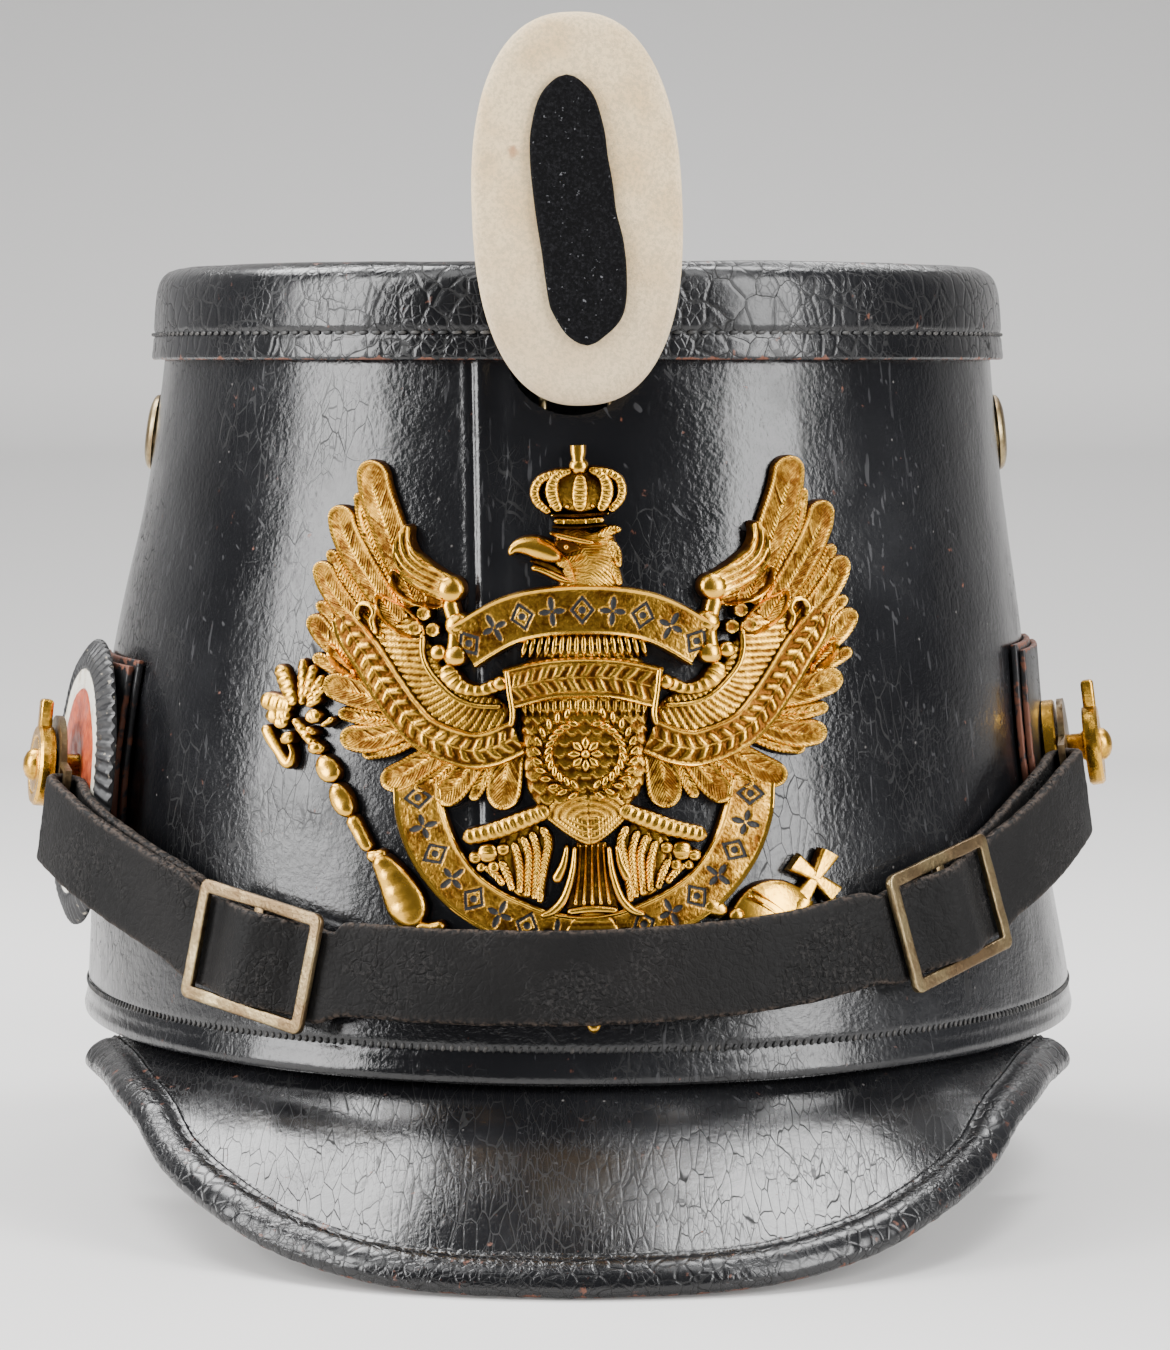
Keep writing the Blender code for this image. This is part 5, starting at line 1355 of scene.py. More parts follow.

# ---------------------------------------------------------------- eagle plate
# One sheet of brass, die-stamped in deep relief and pierced, bowed to the hat's front: a
# crowned eagle with sceptre and orb, leaf-ended wings and ribbons of plain ornament. Its black
# marks are cut and filled. The tables are in millimetres from the plate's middle line.
# Each form's polish mark is high on its raised parts and low in grooves, hollows and at its foot: worn
# polish and patina, and painted shade in the recesses.
PLATE_MIDDLE = 1.0
PLATE_TILT = math.radians(0.6)
PLATE_TURN_HEIGHT = 95.0
PLATE_BACK = 0.4
FEATHERS = (  # each from root to tip: across, height, half width
    ((28.0, 111.5, 2.4), (31.0, 119.0, 3.0), (33.6, 126.0, 3.1), (35.3, 131.5, 3.0),
     (35.9, 136.7, 2.7)),
    ((31.0, 108.5, 2.2), (35.2, 114.4, 2.6), (38.3, 119.4, 2.7), (40.6, 124.3, 2.6),
     (41.4, 128.8, 2.3)),
    ((34.5, 104.5, 2.0), (38.5, 108.6, 2.2), (41.8, 112.4, 2.3), (43.9, 115.8, 2.2),
     (44.7, 119.0, 2.0)),
    ((37.5, 100.5, 1.8), (41.0, 103.4, 2.1), (44.2, 106.2, 2.2), (46.4, 109.6, 1.9)),
    ((32.0, 95.0, 2.2), (37.0, 95.8, 2.7), (41.0, 96.9, 2.7), (44.4, 98.0, 2.4)),
    ((29.5, 90.5, 2.0), (33.7, 89.0, 2.4), (37.0, 88.3, 2.5), (41.4, 88.6, 2.3)),
    ((22.0, 88.0, 2.0), (27.2, 84.4, 2.5), (30.5, 82.4, 2.6), (34.4, 80.7, 2.3)),
    ((16.5, 88.0, 2.0), (19.8, 83.0, 2.4), (22.0, 80.2, 2.5), (24.6, 77.7, 2.2)),
    ((12.2, 88.5, 2.6), (13.0, 84.0, 3.0), (13.5, 80.2, 3.1), (14.1, 76.5, 2.8)),
)
BACK_FEATHERS = (  # narrow ones that show between the others
    ((31.0, 112.0, 1.2), (34.5, 119.0, 1.5), (37.0, 125.0, 1.5), (38.2, 131.0, 1.2)),
    ((34.0, 107.5, 1.2), (38.5, 112.5, 1.5), (41.7, 117.0, 1.5), (43.3, 121.0, 1.2)),
    ((37.0, 104.5, 1.2), (41.9, 108.3, 1.5), (45.6, 111.8, 1.2)),
    ((37.0, 99.0, 1.3), (42.0, 100.3, 1.6), (46.4, 102.4, 1.3)),
    ((33.0, 91.6, 1.2), (37.0, 91.9, 1.6), (42.0, 92.8, 1.3)),
    ((28.5, 88.5, 1.2), (33.0, 86.8, 1.5), (37.8, 85.6, 1.2)),
    ((21.0, 85.5, 1.2), (25.0, 81.8, 1.5), (28.8, 79.9, 1.2)),
    ((15.5, 86.0, 1.1), (17.3, 81.5, 1.4), (19.0, 78.1, 1.1)),
)
WING_FIELD = ((34.5, 112.0, 2.5), (33.0, 108.0, 4.2), (30.0, 102.0, 5.0), (26.5, 96.0, 5.2),
              (20.0, 92.6, 4.6), (12.5, 92.4, 4.0))
HOLLOW_LEAVES = (  # curled leaves with a raised rim at the wing's shoulder
    ((34.6, 113.6, 0.5), (33.2, 111.2, 1.9), (31.0, 109.2, 2.4), (28.4, 107.4, 2.0),
     (26.4, 106.0, 1.2)),
    ((31.8, 117.8, 0.5), (30.6, 115.6, 1.9), (28.2, 113.8, 2.3), (25.2, 112.6, 1.9),
     (23.0, 111.4, 1.2)),
    ((28.9, 125.5, 0.5), (29.9, 122.6, 1.5), (29.4, 119.6, 2.3), (27.4, 117.2, 2.7),
     (24.6, 115.4, 2.6), (22.2, 114.2, 2.4), (20.6, 113.4, 1.8)),
)
SHOULDER = ((22.6, 113.0, 1.5), (21.4, 108.0, 1.4), (21.6, 104.0, 1.4), (22.4, 101.0, 1.6))
KNOBS = ((22.0, 114.3, 2.5), (20.9, 108.2, 2.3), (21.2, 103.0, 2.1), (24.2, 103.4, 1.6))
TREFOIL = ((26.5, 110.1, 1.3), (27.9, 107.6, 1.3), (25.0, 107.3, 1.3))
THIN_BAND = ((26.8, 107.0, 0.6), (26.9, 103.5, 0.6), (26.0, 100.6, 0.6), (23.6, 97.6, 0.6),
             (21.1, 95.5, 0.6), (17.9, 94.4, 0.6), (13.4, 94.2, 0.6))
INNER_SCROLL = ((22.9, 101.6, 1.5), (22.2, 99.4, 1.8), (20.4, 97.6, 1.5), (17.4, 96.9, 1.2),
                (15.2, 97.6, 1.4), (13.6, 98.3, 1.3))
WING_RIBBON = ((40.6, 109.3, 2.2), (39.0, 106.4, 2.9), (36.5, 102.8, 3.1), (33.0, 97.2, 3.2),
               (30.0, 93.0, 3.2), (26.4, 89.4, 3.2), (19.5, 86.8, 3.3), (15.5, 87.1, 3.3),
               (11.0, 89.0, 3.2))
RIBBON_FOLD = ((42.7, 104.9, 0.4), (42.0, 102.8, 1.2), (40.3, 100.6, 1.3), (38.2, 98.8, 0.5))
RIBBON_CURL = ((37.4, 108.6, 0.5), (38.0, 110.2, 0.6), (37.1, 111.6, 0.6), (35.6, 111.5, 0.6),
               (34.9, 110.2, 0.6), (35.4, 108.8, 0.6), (34.6, 106.2, 0.5))
TOP_SCROLL = ((0.0, 110.7, 4.4), (6.4, 110.3, 4.35), (11.1, 109.3, 4.35), (15.0, 107.5, 4.3),
              (19.8, 104.4, 4.3))
CROSS_BAND = ((0.0, 99.2, 3.6), (6.0, 98.8, 3.6), (12.4, 97.2, 3.7))
BAND_END = ((12.6, 100.8, 0.6), (12.2, 97.0, 0.7), (11.7, 93.0, 0.7), (12.1, 90.6, 0.6))
CRESCENT = ((0.0, 55.2, 3.7), (6.0, 55.9, 3.7), (10.2, 57.2, 3.8), (16.4, 60.0, 3.95),
            (21.3, 63.7, 4.1), (25.4, 69.4, 4.35), (27.6, 75.2, 4.4), (28.3, 80.6, 4.2))
TORSO = ((0.3, 108.4, 8.8), (0.3, 106.0, 9.6), (0.3, 104.5, 10.2), (0.3, 100.0, 10.9),
         (0.2, 92.3, 10.9), (0.2, 87.6, 10.6), (0.3, 81.9, 10.3), (0.5, 78.4, 8.8),
         (0.7, 75.9, 6.4), (0.9, 73.1, 4.2), (1.0, 70.4, 1.2))
BREAST = ((0.6, 80.6, 6.8), (0.7, 78.6, 8.6), (0.7, 76.6, 8.5), (0.8, 74.6, 6.9), (0.9, 72.8, 5.0),
          (1.0, 71.2, 2.8), (1.1, 70.4, 0.9))
LEG = ((5.6, 77.0, 1.5), (7.6, 76.0, 1.6), (10.3, 74.9, 1.7), (13.9, 73.5, 1.7),
       (16.7, 72.7, 1.6), (20.4, 71.8, 1.6))
CLAWS = ((16.2, 69.4, 1.9), (18.3, 68.6, 1.3), (13.6, 70.0, 1.3), (15.2, 67.0, 1.2),
         (17.3, 66.9, 1.0))
FAN = (
    ((16.8, 67.2, 0.7), (14.9, 65.6, 0.9), (13.4, 63.8, 0.8)),
    ((14.2, 68.2, 0.8), (12.9, 65.6, 0.95), (12.0, 62.8, 0.8)),
    ((11.9, 71.4, 0.8), (10.9, 67.4, 0.95), (10.8, 62.4, 0.8)),
    ((10.4, 72.4, 0.8), (9.3, 69.0, 0.95), (9.4, 65.4, 0.95), (9.6, 61.8, 0.8)),
    ((8.9, 73.2, 0.8), (7.9, 69.8, 0.95), (8.0, 66.4, 0.95), (8.4, 61.4, 0.8)),
    ((7.2, 74.0, 0.8), (6.1, 71.4, 0.95), (6.7, 67.6, 0.95), (7.3, 64.0, 0.9), (7.5, 60.8, 0.7)),
)
FAN_FIELD = ((8.6, 74.6, 2.4), (9.8, 71.4, 4.0), (10.6, 68.4, 4.4), (10.4, 65.4, 3.4),
             (9.2, 61.6, 1.6))
PETAL = ((4.1, 70.8, 0.5), (4.7, 67.6, 0.85), (5.8, 65.2, 1.05), (6.4, 64.3, 1.0))
TAIL_SIDE = ((2.8, 70.6, 0.55), (3.3, 66.2, 0.75), (4.7, 61.8, 0.85), (6.5, 59.6, 0.9),
             (8.8, 58.7, 0.6))
TAIL_MIDDLE = 1.2
TAIL_FIELD = ((1.2, 71.0, 2.6), (1.2, 66.0, 3.2), (1.2, 60.0, 4.6))
TAIL_RIBS = (-2.0, -1.0, 0.0, 1.0, 2.0)
TAIL_FOOT = ((1.2, 59.8, 3.8), (1.2, 57.6, 4.6), (1.2, 54.0, 4.8), (1.2, 48.0, 4.0),
             (1.2, 43.0, 2.4), (1.3, 38.6, 0.6))
SCEPTRE = (  # rows and the rise of each turned part, from the head's neck down
    (((-45.7, 87.4, 1.2), (-44.8, 85.3, 1.5)), 1.2),
    (((-44.6, 85.6, 1.2), (-43.8, 83.2, 2.1), (-42.4, 80.6, 1.7)), 1.3),
    (((-42.3, 80.8, 1.2), (-41.3, 77.8, 2.0), (-39.7, 74.8, 1.3)), 1.6),
    (((-39.9, 75.3, 1.3), (-38.3, 72.3, 1.25), (-36.5, 69.0, 1.1)), 1.0),
    (((-37.0, 68.9, 1.0), (-35.2, 68.2, 1.3), (-33.6, 69.4, 1.0)), 1.2),
    (((-35.2, 68.8, 1.4), (-32.4, 64.6, 2.8), (-30.4, 60.6, 3.5), (-29.2, 57.6, 2.8),
      (-28.4, 56.0, 1.2)), 1.9),
    (((-28.9, 56.8, 1.1), (-26.4, 56.4, 1.1), (-23.5, 57.0, 1.0)), 1.2),
)
SCEPTRE_LEAVES = (
    (-49.6, 93.4, -52.6, 100.8, 1.5), (-49.8, 93.2, -56.0, 94.6, 1.9),
    (-50.0, 92.0, -55.0, 91.6, 1.6), (-50.4, 91.0, -53.4, 90.4, 1.4),
    (-48.0, 93.6, -47.9, 102.0, 1.0), (-47.4, 95.0, -45.9, 101.0, 1.0),
    (-47.0, 94.6, -44.2, 99.2, 0.9), (-47.0, 94.2, -43.8, 97.2, 0.9),
    (-47.2, 93.6, -44.4, 95.4, 0.9), (-47.4, 91.4, -44.4, 92.6, 1.5),
    (-49.4, 91.6, -45.8, 87.0, 1.0), (-51.4, 88.9, -49.6, 87.2, 1.6),
    (-44.4, 90.2, -42.0, 92.0, 0.7), (-47.0, 90.2, -45.2, 88.8, 0.7),
)
SCEPTRE_HOOK = ((-55.0, 90.2, 1.0), (-54.0, 88.0, 1.1), (-52.4, 85.6, 1.0), (-50.8, 83.6, 1.1),
                (-49.8, 85.4, 0.6), (-50.4, 87.4, 0.5))
ORB = (31.7, 56.1, 7.6)
ORB_BANDS = (((27.0, 61.4, 0.5), (31.9, 57.6, 0.6), (35.0, 53.6, 0.5)),
             ((27.8, 62.4, 0.35), (32.8, 58.4, 0.4), (36.2, 54.6, 0.35)))
ORB_NECK = ((36.0, 57.2, 2.6), (36.9, 60.0, 1.6))
ORB_CROSS = ((36.3, 59.6), (42.4, 60.4), (35.4, 66.4), (41.6, 67.6))
ORB_CROSS_MIDDLE = (39.1, 63.6)
HEAD = ((0.7, 111.0, 6.3), (0.7, 113.5, 5.7), (1.2, 115.5, 5.3), (1.6, 117.5, 4.9),
        (1.2, 119.5, 5.2), (0.2, 121.5, 6.2), (-0.6, 123.3, 6.0), (-0.4, 125.0, 4.9))
UPPER_BEAK = ((-3.2, 119.3, 1.2), (-4.9, 120.4, 1.9), (-6.8, 121.2, 2.1), (-8.8, 121.7, 1.9),
              (-10.4, 121.6, 1.5), (-11.4, 121.0, 1.0), (-11.9, 119.9, 0.5))
LOWER_BEAK = ((-1.4, 115.4, 0.5), (-3.4, 116.0, 0.8), (-5.4, 117.0, 0.8), (-7.2, 117.7, 0.7),
              (-8.6, 118.0, 0.8))
BEAK_FOLD = ((-7.4, 123.4, 0.3), (-5.3, 122.1, 0.35), (-3.5, 120.6, 0.35), (-2.0, 118.7, 0.35),
             (-1.0, 115.2, 0.3))
BROW = ((-5.4, 123.9, 0.4), (-2.8, 123.2, 0.7), (-0.8, 122.7, 0.7), (1.4, 122.2, 0.6),
        (3.6, 121.8, 0.3))
EYE_SOCKET = ((-4.6, 122.4, 0.5), (-2.6, 121.5, 1.3), (0.2, 121.2, 0.5))
EYELID = ((-3.8, 120.4, 0.25), (-1.8, 119.9, 0.32), (0.2, 120.5, 0.25))
CHEEK = ((-8.8, 119.1, 0.35), (-7.0, 118.8, 0.6), (-4.6, 117.7, 0.6), (-2.2, 116.1, 0.4))
TUFTS = (((2.6, 123.2, 0.9), (4.8, 124.2, 1.0), (6.8, 124.4, 0.6)),
         ((4.2, 122.8, 1.0), (5.6, 120.4, 1.2), (6.3, 117.7, 0.6)),
         ((4.4, 119.2, 0.9), (5.5, 117.0, 1.1), (6.4, 114.6, 0.7)),
         ((2.9, 119.4, 0.6), (3.6, 117.2, 0.7), (4.0, 114.6, 0.5)))
CROWN_BASE = ((-4.7, 125.9, 0.7), (-0.4, 125.8, 0.7), (4.0, 126.1, 0.7))
CROWN_DOME = ((-0.3, 127.0, 4.8), (-0.3, 129.0, 6.6), (-0.3, 131.2, 7.5), (-0.3, 133.3, 6.2),
              (-0.3, 134.8, 2.8))
CROWN_ARCHES = (
    ((-5.0, 127.2, 0.8), (-7.2, 129.2, 1.0), (-7.7, 131.0, 1.05), (-6.8, 132.9, 1.0),
     (-4.6, 134.0, 0.9), (-1.6, 134.5, 0.7)),
    ((4.5, 127.4, 0.8), (6.4, 129.5, 1.0), (6.8, 131.3, 1.05), (6.2, 133.1, 1.0),
     (4.2, 134.3, 0.9), (1.2, 134.8, 0.7)),
    ((-3.4, 127.4, 0.9), (-4.6, 129.8, 1.3), (-4.8, 131.8, 1.3), (-3.9, 133.6, 1.0),
     (-1.4, 134.6, 0.7)),
    ((3.0, 127.4, 0.9), (4.1, 129.8, 1.3), (4.3, 131.8, 1.3), (3.4, 133.7, 1.0),
     (1.2, 134.8, 0.7)),
    ((-0.2, 127.3, 1.1), (-0.2, 129.8, 1.5), (-0.1, 131.8, 1.45), (-0.1, 134.2, 1.0)),
)
CROWN_BEADS = ((-4.9, 128.6), (-2.3, 128.4), (1.9, 128.5), (4.3, 128.8))
CROWN_BALL = (-0.3, 135.3, 1.75)
CROWN_CROSS = ((-0.35, 135.8, 1.5), (-0.4, 136.5, 1.2), (-0.4, 137.4, 1.4), (-0.4, 138.9, 1.45))
COLLAR_FEATHERS = 17
COLLAR_PITCH = 1.2
WREATH_CENTRE = (0.3, 86.2)
WREATH_HALF = (7.0, 6.3)
WREATH_PAIRS = 12
ROSETTE_PETALS = 8


def plate_point(across, height, depth):
    rise = height - PLATE_TURN_HEIGHT
    x = PLATE_MIDDLE + across * math.cos(PLATE_TILT) - rise * math.sin(PLATE_TILT)
    z = PLATE_TURN_HEIGHT + across * math.sin(PLATE_TILT) + rise * math.cos(PLATE_TILT)
    left, right = smooth(BODY_ROWS, z / 1000)[:2]
    reach = right if x > 0 else left
    return wall(math.asin(x / 1000 / reach), z / 1000, (PLATE_BACK + depth) / 1000)


def mirror_point(across, height, depth):
    return plate_point(-across, height, depth)


def feather(base):
    """Raised rim, a shaft that starts short of the tip, and barbs with a few splits."""
    def relief(along, off, edge, half, length):
        side = abs(off)
        vane = length - 2.4 * half
        slant = along - 1.25 * side - 0.12 * side * side
        inside = min(1.0, max(0.0, (edge - 0.45) / 0.5))
        rim = ridge(edge - 0.42, 0.34, 1.0)
        shaft = ridge(off, 0.26, 1.0) * min(1.0, max(0.0, (vane + half - along) / 1.6)) * inside
        split = lift = 0.0
        for i in range(5):
            if (i % 2 == 0) == (off > 0):
                gap = slant - vane * (0.22 + 0.17 * i)
                split += ridge(gap, 0.26, inside)
                lift += ridge(gap - 0.5, 0.36, inside)
        tip = ridge(along - vane - 0.7 * half - 0.5 * side, 0.3, inside)
        depth = base * (0.5 + 0.5 * rounded(edge, 0.6)) + 0.5 * (1 - (off / half) ** 2)
        depth += 0.34 * rim + 0.40 * shaft + 0.06 * lift - 0.12 * split - 0.06 * tip
        depth -= 0.28 * inside
        # Polish is high on rim and shaft and low in splits and at the foot: worn polish and patina, with
        # painted shade in the grooves and at the form's foot.
        polish_and_shade = 0.28 + 0.6 * rim + 0.7 * shaft + 0.15 * lift - 0.35 * split - 0.15 * tip
        return depth, polish_and_shade - 0.9 * ridge(edge, 0.22, 1.0), 0.0, slant
    return relief


def roll(base, rise, pitch=0.0, notch=0.0, polish_and_shade=0.40, hair=0.0):
    """A rounded form, ringed or beaded where it has a pitch, with fine hair where it has some."""
    def relief(along, off, edge, half, length):
        round_rise = rounded(edge, half)
        ring = 0.5 - 0.5 * math.cos(math.tau * along / pitch) if pitch else 1.0
        depth = base * min(1.0, 0.4 + edge * 2) + rise * round_rise * (1 - notch * (1 - ring))
        # Dark marks the rings' grooves and the form's foot: patina and painted shade.
        dark = notch * (1 - ring) + 0.8 * ridge(edge, 0.22, 1.0)
        return depth, polish_and_shade + 0.4 * round_rise - dark, 0.0, hair * (along + 0.5 * abs(off))
    return relief


def hollow(base):
    """A curled leaf: a raised rim round a sunk, veined middle."""
    def relief(along, off, edge, half, length):
        inside = min(1.0, max(0.0, (edge - 0.35) / 0.5))
        veins = 0.5 + 0.5 * math.sin(off * 5.0 + along * 0.9)
        rim = ridge(edge - 0.3, 0.28, 1.0)
        depth = base * (0.5 + 0.5 * rounded(edge, 0.5)) + 0.25 * rim
        depth += 1.2 * rounded(edge, half) * (1 - inside) - inside * (0.75 - 0.16 * veins)
        # The sunk middle takes a lower polish: patina and painted shade in the hollow.
        return depth, 0.55 + 0.3 * rim - inside * (0.55 - 0.25 * veins), 0.0, 0.0
    return relief


def veined(base):
    """A full curling leaf with grooves along it, smooth at its rounded end."""
    def relief(along, off, edge, half, length):
        vane = min(1.0, max(0.0, (0.86 - along / length) / 0.12))
        groove = 0.5 - 0.5 * math.cos(math.tau * (off / 1.15 + 0.10 * along))
        rim = ridge(edge - 0.35, 0.3, 1.0)
        depth = base * (0.5 + 0.5 * rounded(edge, 0.5)) + 0.9 * rounded(edge, half)
        depth += (0.35 * rim - 0.50 * (1 - groove) * (1 - rim)) * vane
        # Grooves and the foot take a lower polish: patina and painted shade.
        polish_and_shade = 0.75 - (0.6 * (1 - groove) - 0.3 * rim) * vane
        return depth, polish_and_shade - 0.8 * ridge(edge, 0.2, 1.0), 0.0, 0.0
    return relief


def flat(base, polish_and_shade=0.6):
    def relief(along, off, edge, half, length):
        # The foot takes a lower polish: patina and painted shade.
        return base * (0.6 + 0.4 * rounded(edge, 0.5)), polish_and_shade - 0.4 * ridge(edge, 0.2, 1.0), 0.0, 0.0
    return relief


def strokes(base, pitch, slant, depth_of):
    """Small feathers laid close: rounded strokes with grooves between them."""
    def relief(along, off, edge, half, length):
        wave = abs(math.sin(math.pi * (along + slant * off) / pitch))
        depth = base * (0.5 + 0.5 * rounded(edge, 0.8)) + depth_of * wave
        # The grooves between strokes take a lower polish: patina and painted shade.
        return depth, 0.05 + 0.55 * wave, 0.0, 0.0
    return relief


def laurel(along, off, middle):
    """Raised ornament: a stem with slanting leaves on both sides."""
    place = (along - 0.55 * abs(off)) % 2.3 - 1.15
    leaf = max(0.0, 1.0 - (place / 0.72) ** 2) if abs(off) < middle else 0.0
    leaf *= min(1.0, max(0.0, abs(off) / 0.35)) * min(1.0, (middle - abs(off)) / 0.5)
    return max(leaf, ridge(off, 0.2, 0.8))


def lozenges(along, off):
    """Cut ornament: an outlined lozenge with a dot, and between them four petals."""
    place = (along + 5.0) % 10.0 - 5.0
    turn = abs(place) / 2.0 + abs(off) / 2.5
    mark_depth = max(0.0, 1.0 - abs(turn - 0.86) / 0.22)
    mark_depth = max(mark_depth, 1.0 - math.hypot(place, off) / 0.8)
    place = along % 10.0 - 5.0
    for x, y, wide, tall in ((0.0, 1.35, 0.45, 1.1), (0.0, -1.35, 0.45, 1.1), (1.2, 0.0, 0.9, 0.45),
                             (-1.2, 0.0, 0.9, 0.45)):
        mark_depth = max(mark_depth, 1.3 - math.hypot((place - x) / wide, (off - y) / tall))
    return min(1.0, max(0.0, mark_depth * 2.2))


def ribbon(base, border, raised=False, cut=False, second=False):
    """A ribbon with raised borders over a stippled ground, ornamented along its middle."""
    def relief(along, off, edge, half, length):
        rim = ridge(edge - border * 0.5, border * 0.42, 1.0)
        if second:
            rim = max(rim, ridge(edge - border * 1.7, border * 0.25, 0.7))
        ground = min(1.0, max(0.0, (edge - border) / 0.3))
        depth = base * (0.45 + 0.55 * rounded(edge, border * 0.6)) + 0.42 * rim
        # The ground and the foot take a lower polish than the borders: patina and painted shade.
        polish_and_shade = 0.45 + 0.4 * rim - 0.22 * ground
        ink = 0.0
        middle = half - border - 0.4
        if raised:
            leaf = laurel(along, off, middle) * ground
            depth += 0.42 * leaf
            polish_and_shade += 0.55 * leaf - 0.15 * ground
        if cut:
            ink = lozenges(along - length / 2, off) * ground
            depth -= 0.35 * ink
            polish_and_shade += 0.30 * ridge(ink - 0.18, 0.16, 1.0)
        return depth, polish_and_shade - 0.8 * ridge(edge, 0.2, 1.0), ink, 0.0
    return relief


def scales(base):
    """The breast's small overlapping feathers."""
    def relief(along, off, edge, half, length):
        row = math.floor(along / 1.9)
        place = (off + (row % 2) * 1.1) % 2.2 - 1.1
        share = (along - row * 1.9) / (1.9 - 0.9 * (place / 1.1) ** 2)
        lift = share if share < 1.0 else 0.0
        depth = base * (0.4 + 0.6 * rounded(edge, 1.4)) + 1.2 * rounded(edge, half) + 0.34 * lift
        # Each scale is darkest at its top, where the scale above lies over it: patina and painted shade.
        return depth, 0.10 + 0.55 * lift, 0.0, 0.0
    return relief


def arcs(base):
    """Close rows of feathers that follow the outline of the lower breast."""
    def relief(along, off, edge, half, length):
        wave = abs(math.sin(math.pi * edge / 1.1))
        seam = ridge(off, 0.25, 1.0)
        depth = base * (0.4 + 0.6 * rounded(edge, 1.0)) + 0.9 * rounded(edge, half) + 0.30 * wave
        # Grooves between the rows and the middle seam take a lower polish: patina and painted shade.
        return depth - 0.3 * seam, 0.15 + 0.55 * wave - 0.3 * seam, 0.0, edge * 2.0 + along * 2.0
    return relief


def ball_rows(across, height, radius):
    return ((across, height - radius, radius), (across, height, radius), (across, height + radius, radius))


def whole(half_rows):
    """Both halves of a form that crosses the plate's middle line."""
    return tuple((-row[0], *row[1:]) for row in reversed(half_rows[1:])) + tuple(half_rows)


def stamped(forms, twinned=True):
    """Stamps each form, and its mirrored twin where it has one."""
    made = []
    for rows, relief, *settings in forms:
        options = dict(settings[0]) if settings else {}
        for lay in ((plate_point, mirror_point) if twinned else (plate_point,)):
            made.append(stamp("form", rows, relief, lay, **options))
    return made


OPEN = {"ends": (False, False)}
FINE = {"ends": (False, False), "pitch": 0.22}
wing_forms = [(WING_FIELD, strokes(1.1, 1.25, 0.55, 0.45))]
wing_forms += [(rows, feather(0.9), {"ends": (False, True), "pitch": 0.26})
               for rows in BACK_FEATHERS]
wing_forms += [(rows, feather(1.3 + 0.25 * (i % 2)), {"ends": (False, True), "pitch": 0.24})
               for i, rows in enumerate(FEATHERS)]
shoulder_forms = [(rows, hollow(1.9 + 0.25 * i) if i < 2 else veined(2.3), {"pitch": 0.22})
                  for i, rows in enumerate(HOLLOW_LEAVES)]
shoulder_forms.append((SHOULDER, roll(1.6, 1.3)))
shoulder_forms += [(ball_rows(*row), roll(1.8, 1.9 - 0.2 * i, polish_and_shade=0.5), {"pitch": 0.24})
                   for i, row in enumerate(KNOBS)]
shoulder_forms += [(ball_rows(*row), ribbon(2.2, 0.5), {"pitch": 0.2}) for row in TREFOIL]
shoulder_forms += [
    (THIN_BAND, roll(2.0, 0.7)),
    (INNER_SCROLL, roll(2.0, 1.0, 1.4, 0.35)),
    (WING_RIBBON, ribbon(2.2, 0.75, raised=True), FINE),
    (RIBBON_FOLD, hollow(2.0)),
    (RIBBON_CURL, roll(2.3, 0.8)),
    (BAND_END, roll(2.9, 0.8)),
    (ball_rows(13.7, 98.2, 1.5), roll(2.2, 1.2)),
]
body_forms = [
    (TORSO, scales(1.3)),
    (whole(CRESCENT), ribbon(1.6, 0.9, cut=True), FINE),
    (whole(TOP_SCROLL), ribbon(3.3, 0.85, cut=True), FINE),
    (TAIL_FIELD, flat(1.3, 0.25), OPEN),
    (BREAST, arcs(2.0)),
    (TAIL_FOOT, strokes(1.6, 1.3, 0.0, 0.3)),
    (((-3.2, 59.4, 0.6), (1.2, 59.9, 0.75), (5.6, 59.6, 0.6)), roll(2.2, 0.8)),
    (whole(CROSS_BAND), ribbon(3.1, 0.75, raised=True, second=True),
     {"ends": (False, False), "pitch": 0.22}),
]
for i in range(COLLAR_FEATHERS):
    across = -9.4 + i * COLLAR_PITCH
    body_forms.append((((across * 0.96, 106.6, 0.5), (across * 1.02, 104.4, 0.62),
                        (across * 1.08, 102.4, 0.4)), roll(2.5, 0.5, polish_and_shade=0.3)))
    body_forms.append((((across * 1.04, 95.8, 0.5), (across * 1.04, 94.0, 0.6),
                        (across * 1.0, 92.4, 0.35)), roll(2.5, 0.5, polish_and_shade=0.2)))
for place in TAIL_RIBS:
    body_forms.append((((TAIL_MIDDLE + place * 0.95, 71.0, 0.40),
                        (TAIL_MIDDLE + place * 1.10, 66.0, 0.46),
                        (TAIL_MIDDLE + place * 1.45, 60.2, 0.56)), roll(1.7, 0.8, polish_and_shade=0.35)))
for side in (-1, 1):
    for rows, relief in ((PETAL, roll(1.9, 1.0)), (TAIL_SIDE, roll(2.1, 1.0))):
        body_forms.append((tuple((TAIL_MIDDLE + side * row[0], *row[1:]) for row in rows), relief))
lower_forms = [
    (FAN_FIELD, strokes(1.3, 40.0, 24.0, 0.3)),
    (LEG, roll(2.2, 1.4, 1.25, 0.28, 0.45)),
]
lower_forms += [(ball_rows(*row), roll(1.5, 1.4, 1.2, 0.25, 0.4)) for row in CLAWS]
lower_forms += [(rows, feather(1.6 + 0.12 * i), {"pitch": 0.24}) for i, rows in enumerate(FAN)]
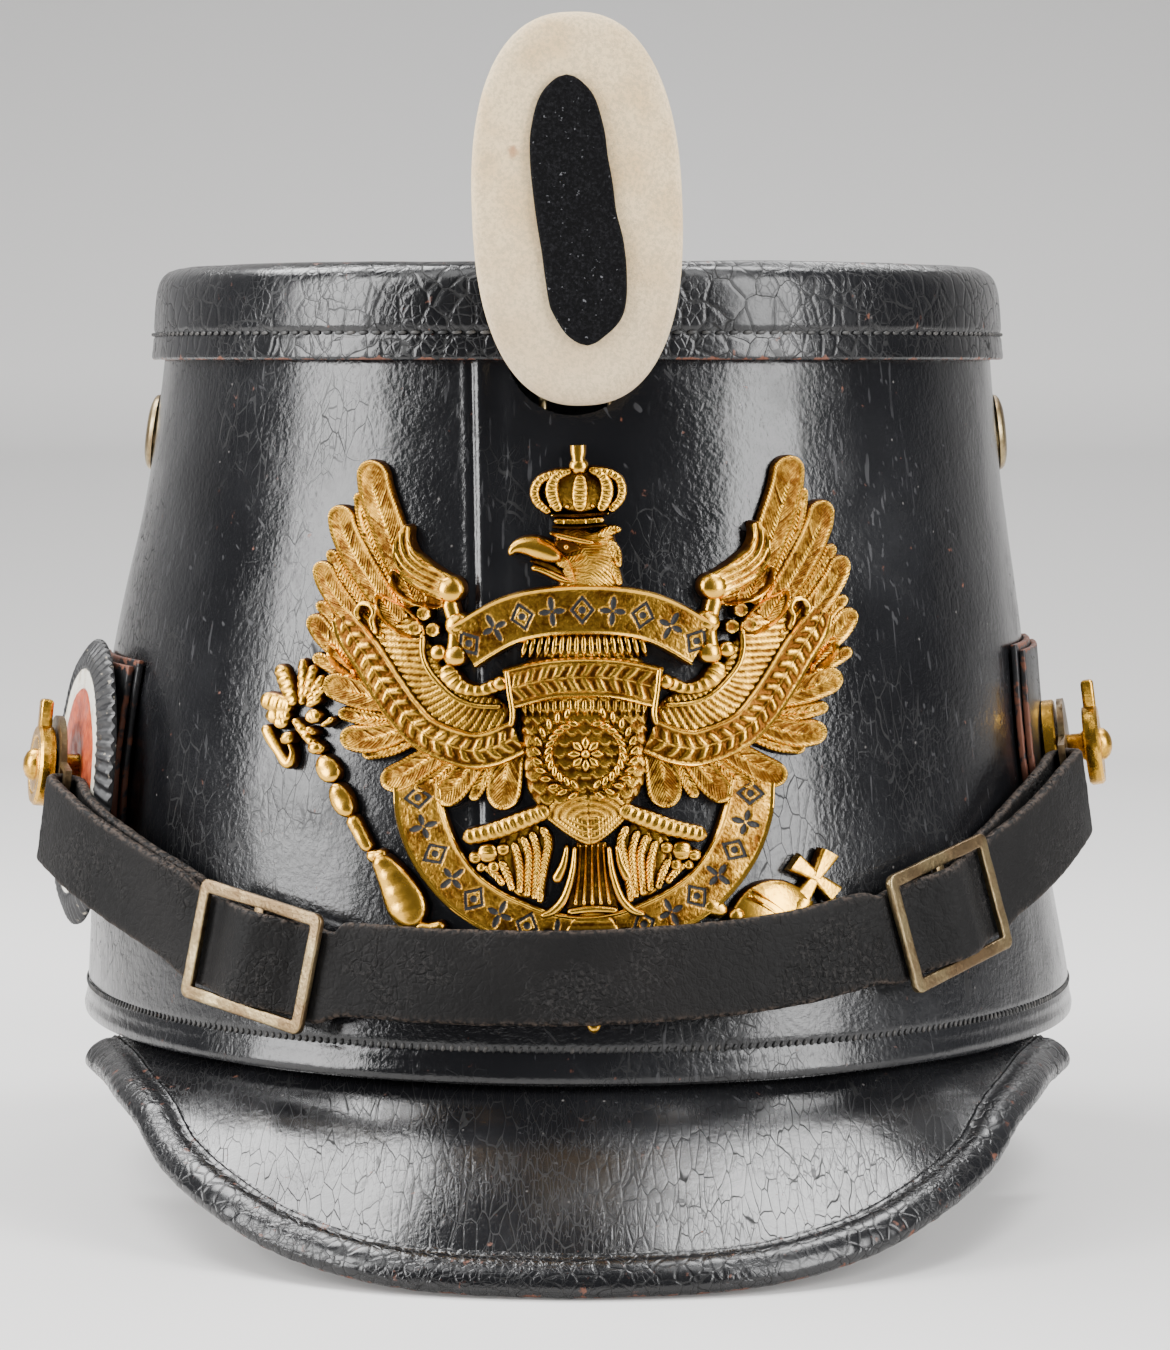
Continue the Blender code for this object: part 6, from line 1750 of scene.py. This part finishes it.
head_forms = [
    (HEAD, roll(1.4, 1.8, 1.6, 0.10, 0.20, 1.4)),
    (LOWER_BEAK, roll(1.9, 1.1)),
    (UPPER_BEAK, roll(2.0, 1.9, polish_and_shade=0.35)),
    # The cheek line and the eye socket carry a low polish: painted shade in the gape between the beaks and
    # under the brow.
    (CHEEK, roll(2.3, 0.3, polish_and_shade=-0.1)),
    (BEAK_FOLD, roll(3.7, 0.5)),
    (EYE_SOCKET, roll(3.50, 0.1, polish_and_shade=-0.5)),
    (ball_rows(-2.5, 121.5, 0.7), roll(3.4, 0.9, polish_and_shade=0.8), {"pitch": 0.15}),
    (EYELID, roll(3.4, 0.7, polish_and_shade=0.6)),
    (BROW, roll(3.2, 1.1, polish_and_shade=0.6)),
    (CROWN_DOME, roll(1.6, 1.5, polish_and_shade=0.05)),
    (CROWN_BASE, roll(2.8, 0.7, 0.72, 0.40)),
    (((-5.0, 124.9, 0.3), (-0.4, 124.8, 0.35), (4.4, 125.2, 0.3)), roll(2.9, 0.6)),
    (((-5.2, 126.9, 0.4), (-0.4, 126.8, 0.45), (4.8, 127.2, 0.4)), roll(2.6, 0.8)),
    (ball_rows(*CROWN_BALL), roll(1.8, 1.6, polish_and_shade=0.5)),
    (CROWN_CROSS, roll(2.0, 1.2, polish_and_shade=0.5), {"ends": (False, False)}),
]
head_forms += [(rows, feather(2.2)) for rows in TUFTS]
head_forms += [(rows, roll(2.3 + 0.2 * i, 1.1, 0.95, 0.22), {"pitch": 0.2})
               for i, rows in enumerate(CROWN_ARCHES)]
head_forms += [(ball_rows(*place, 0.6), roll(2.9, 0.8), {"pitch": 0.18}) for place in CROWN_BEADS]
for side in (-1, 1):
    for i in range(WREATH_PAIRS):
        turn = math.radians(-82 + 13.0 * i)
        x = WREATH_CENTRE[0] + side * WREATH_HALF[0] * math.cos(turn)
        z = WREATH_CENTRE[1] + WREATH_HALF[1] * math.sin(turn)
        for lean in (-0.75, 0.75):
            run = turn + math.pi / 2 + lean
            dx, dz = side * math.cos(run), math.sin(run)
            head_forms.append((((x, z, 0.2), (x + 1.5 * dx, z + 1.5 * dz, 0.75),
                                (x + 2.9 * dx, z + 2.9 * dz, 0.2)), roll(3.1, 0.7)))
for i in range(ROSETTE_PETALS):
    turn = math.tau * i / ROSETTE_PETALS
    dx, dz = math.cos(turn), math.sin(turn)
    x, z = WREATH_CENTRE
    head_forms.append((((x + 0.5 * dx, z + 0.5 * dz, 0.4), (x + 2.0 * dx, z + 2.0 * dz, 0.9),
                        (x + 3.2 * dx, z + 3.2 * dz, 0.3)), roll(3.2, 0.7)))
head_forms.append((ball_rows(*WREATH_CENTRE, 1.0), roll(3.4, 1.0)))
arm_forms = [(rows, roll(1.2, rise, 3.0, 0.06)) for rows, rise in SCEPTRE]
for i, (x, z, far_x, far_z, half) in enumerate(SCEPTRE_LEAVES):
    arm_forms.append((((x, z, half * 0.7), ((x + far_x) / 2, (z + far_z) / 2, half),
                       (far_x, far_z, half * 0.8)), roll(1.0 + 0.08 * i, 1.0, 1.5, 0.25, 0.45)))
arm_forms += [
    (SCEPTRE_HOOK, roll(1.2, 1.0)),
    (ball_rows(-45.6, 86.6, 1.4), roll(1.6, 1.3, polish_and_shade=0.55)),
    (ball_rows(*ORB), roll(1.2, 1.9, polish_and_shade=0.4)),
    (ORB_NECK, roll(2.0, 1.0, polish_and_shade=0.8), OPEN),
    (ball_rows(25.4, 57.9, 1.5), roll(1.6, 1.2)),
    (((20.0, 60.0, 1.6), (24.0, 58.4, 1.5)), roll(1.2, 0.8)),
]
arm_forms += [(rows, roll(2.2, 0.9)) for rows in ORB_BANDS]
arm_forms += [(((*ORB_CROSS_MIDDLE, 0.9), (*end, 1.75)), flat(2.0 + 0.1 * i), OPEN)
              for i, end in enumerate(ORB_CROSS)]
plate = (("eagle_wings", wing_forms, True), ("eagle_ribbons", shoulder_forms, True),
         ("eagle_breast", body_forms, False), ("eagle_legs", lower_forms, True),
         ("eagle_head", head_forms, False), ("eagle_arms", arm_forms, False))
for name, forms, twinned in plate:
    settle(join(name, stamped(forms, twinned)), gilt, "gilt_brass", "eagle_plate", angle=70.0)
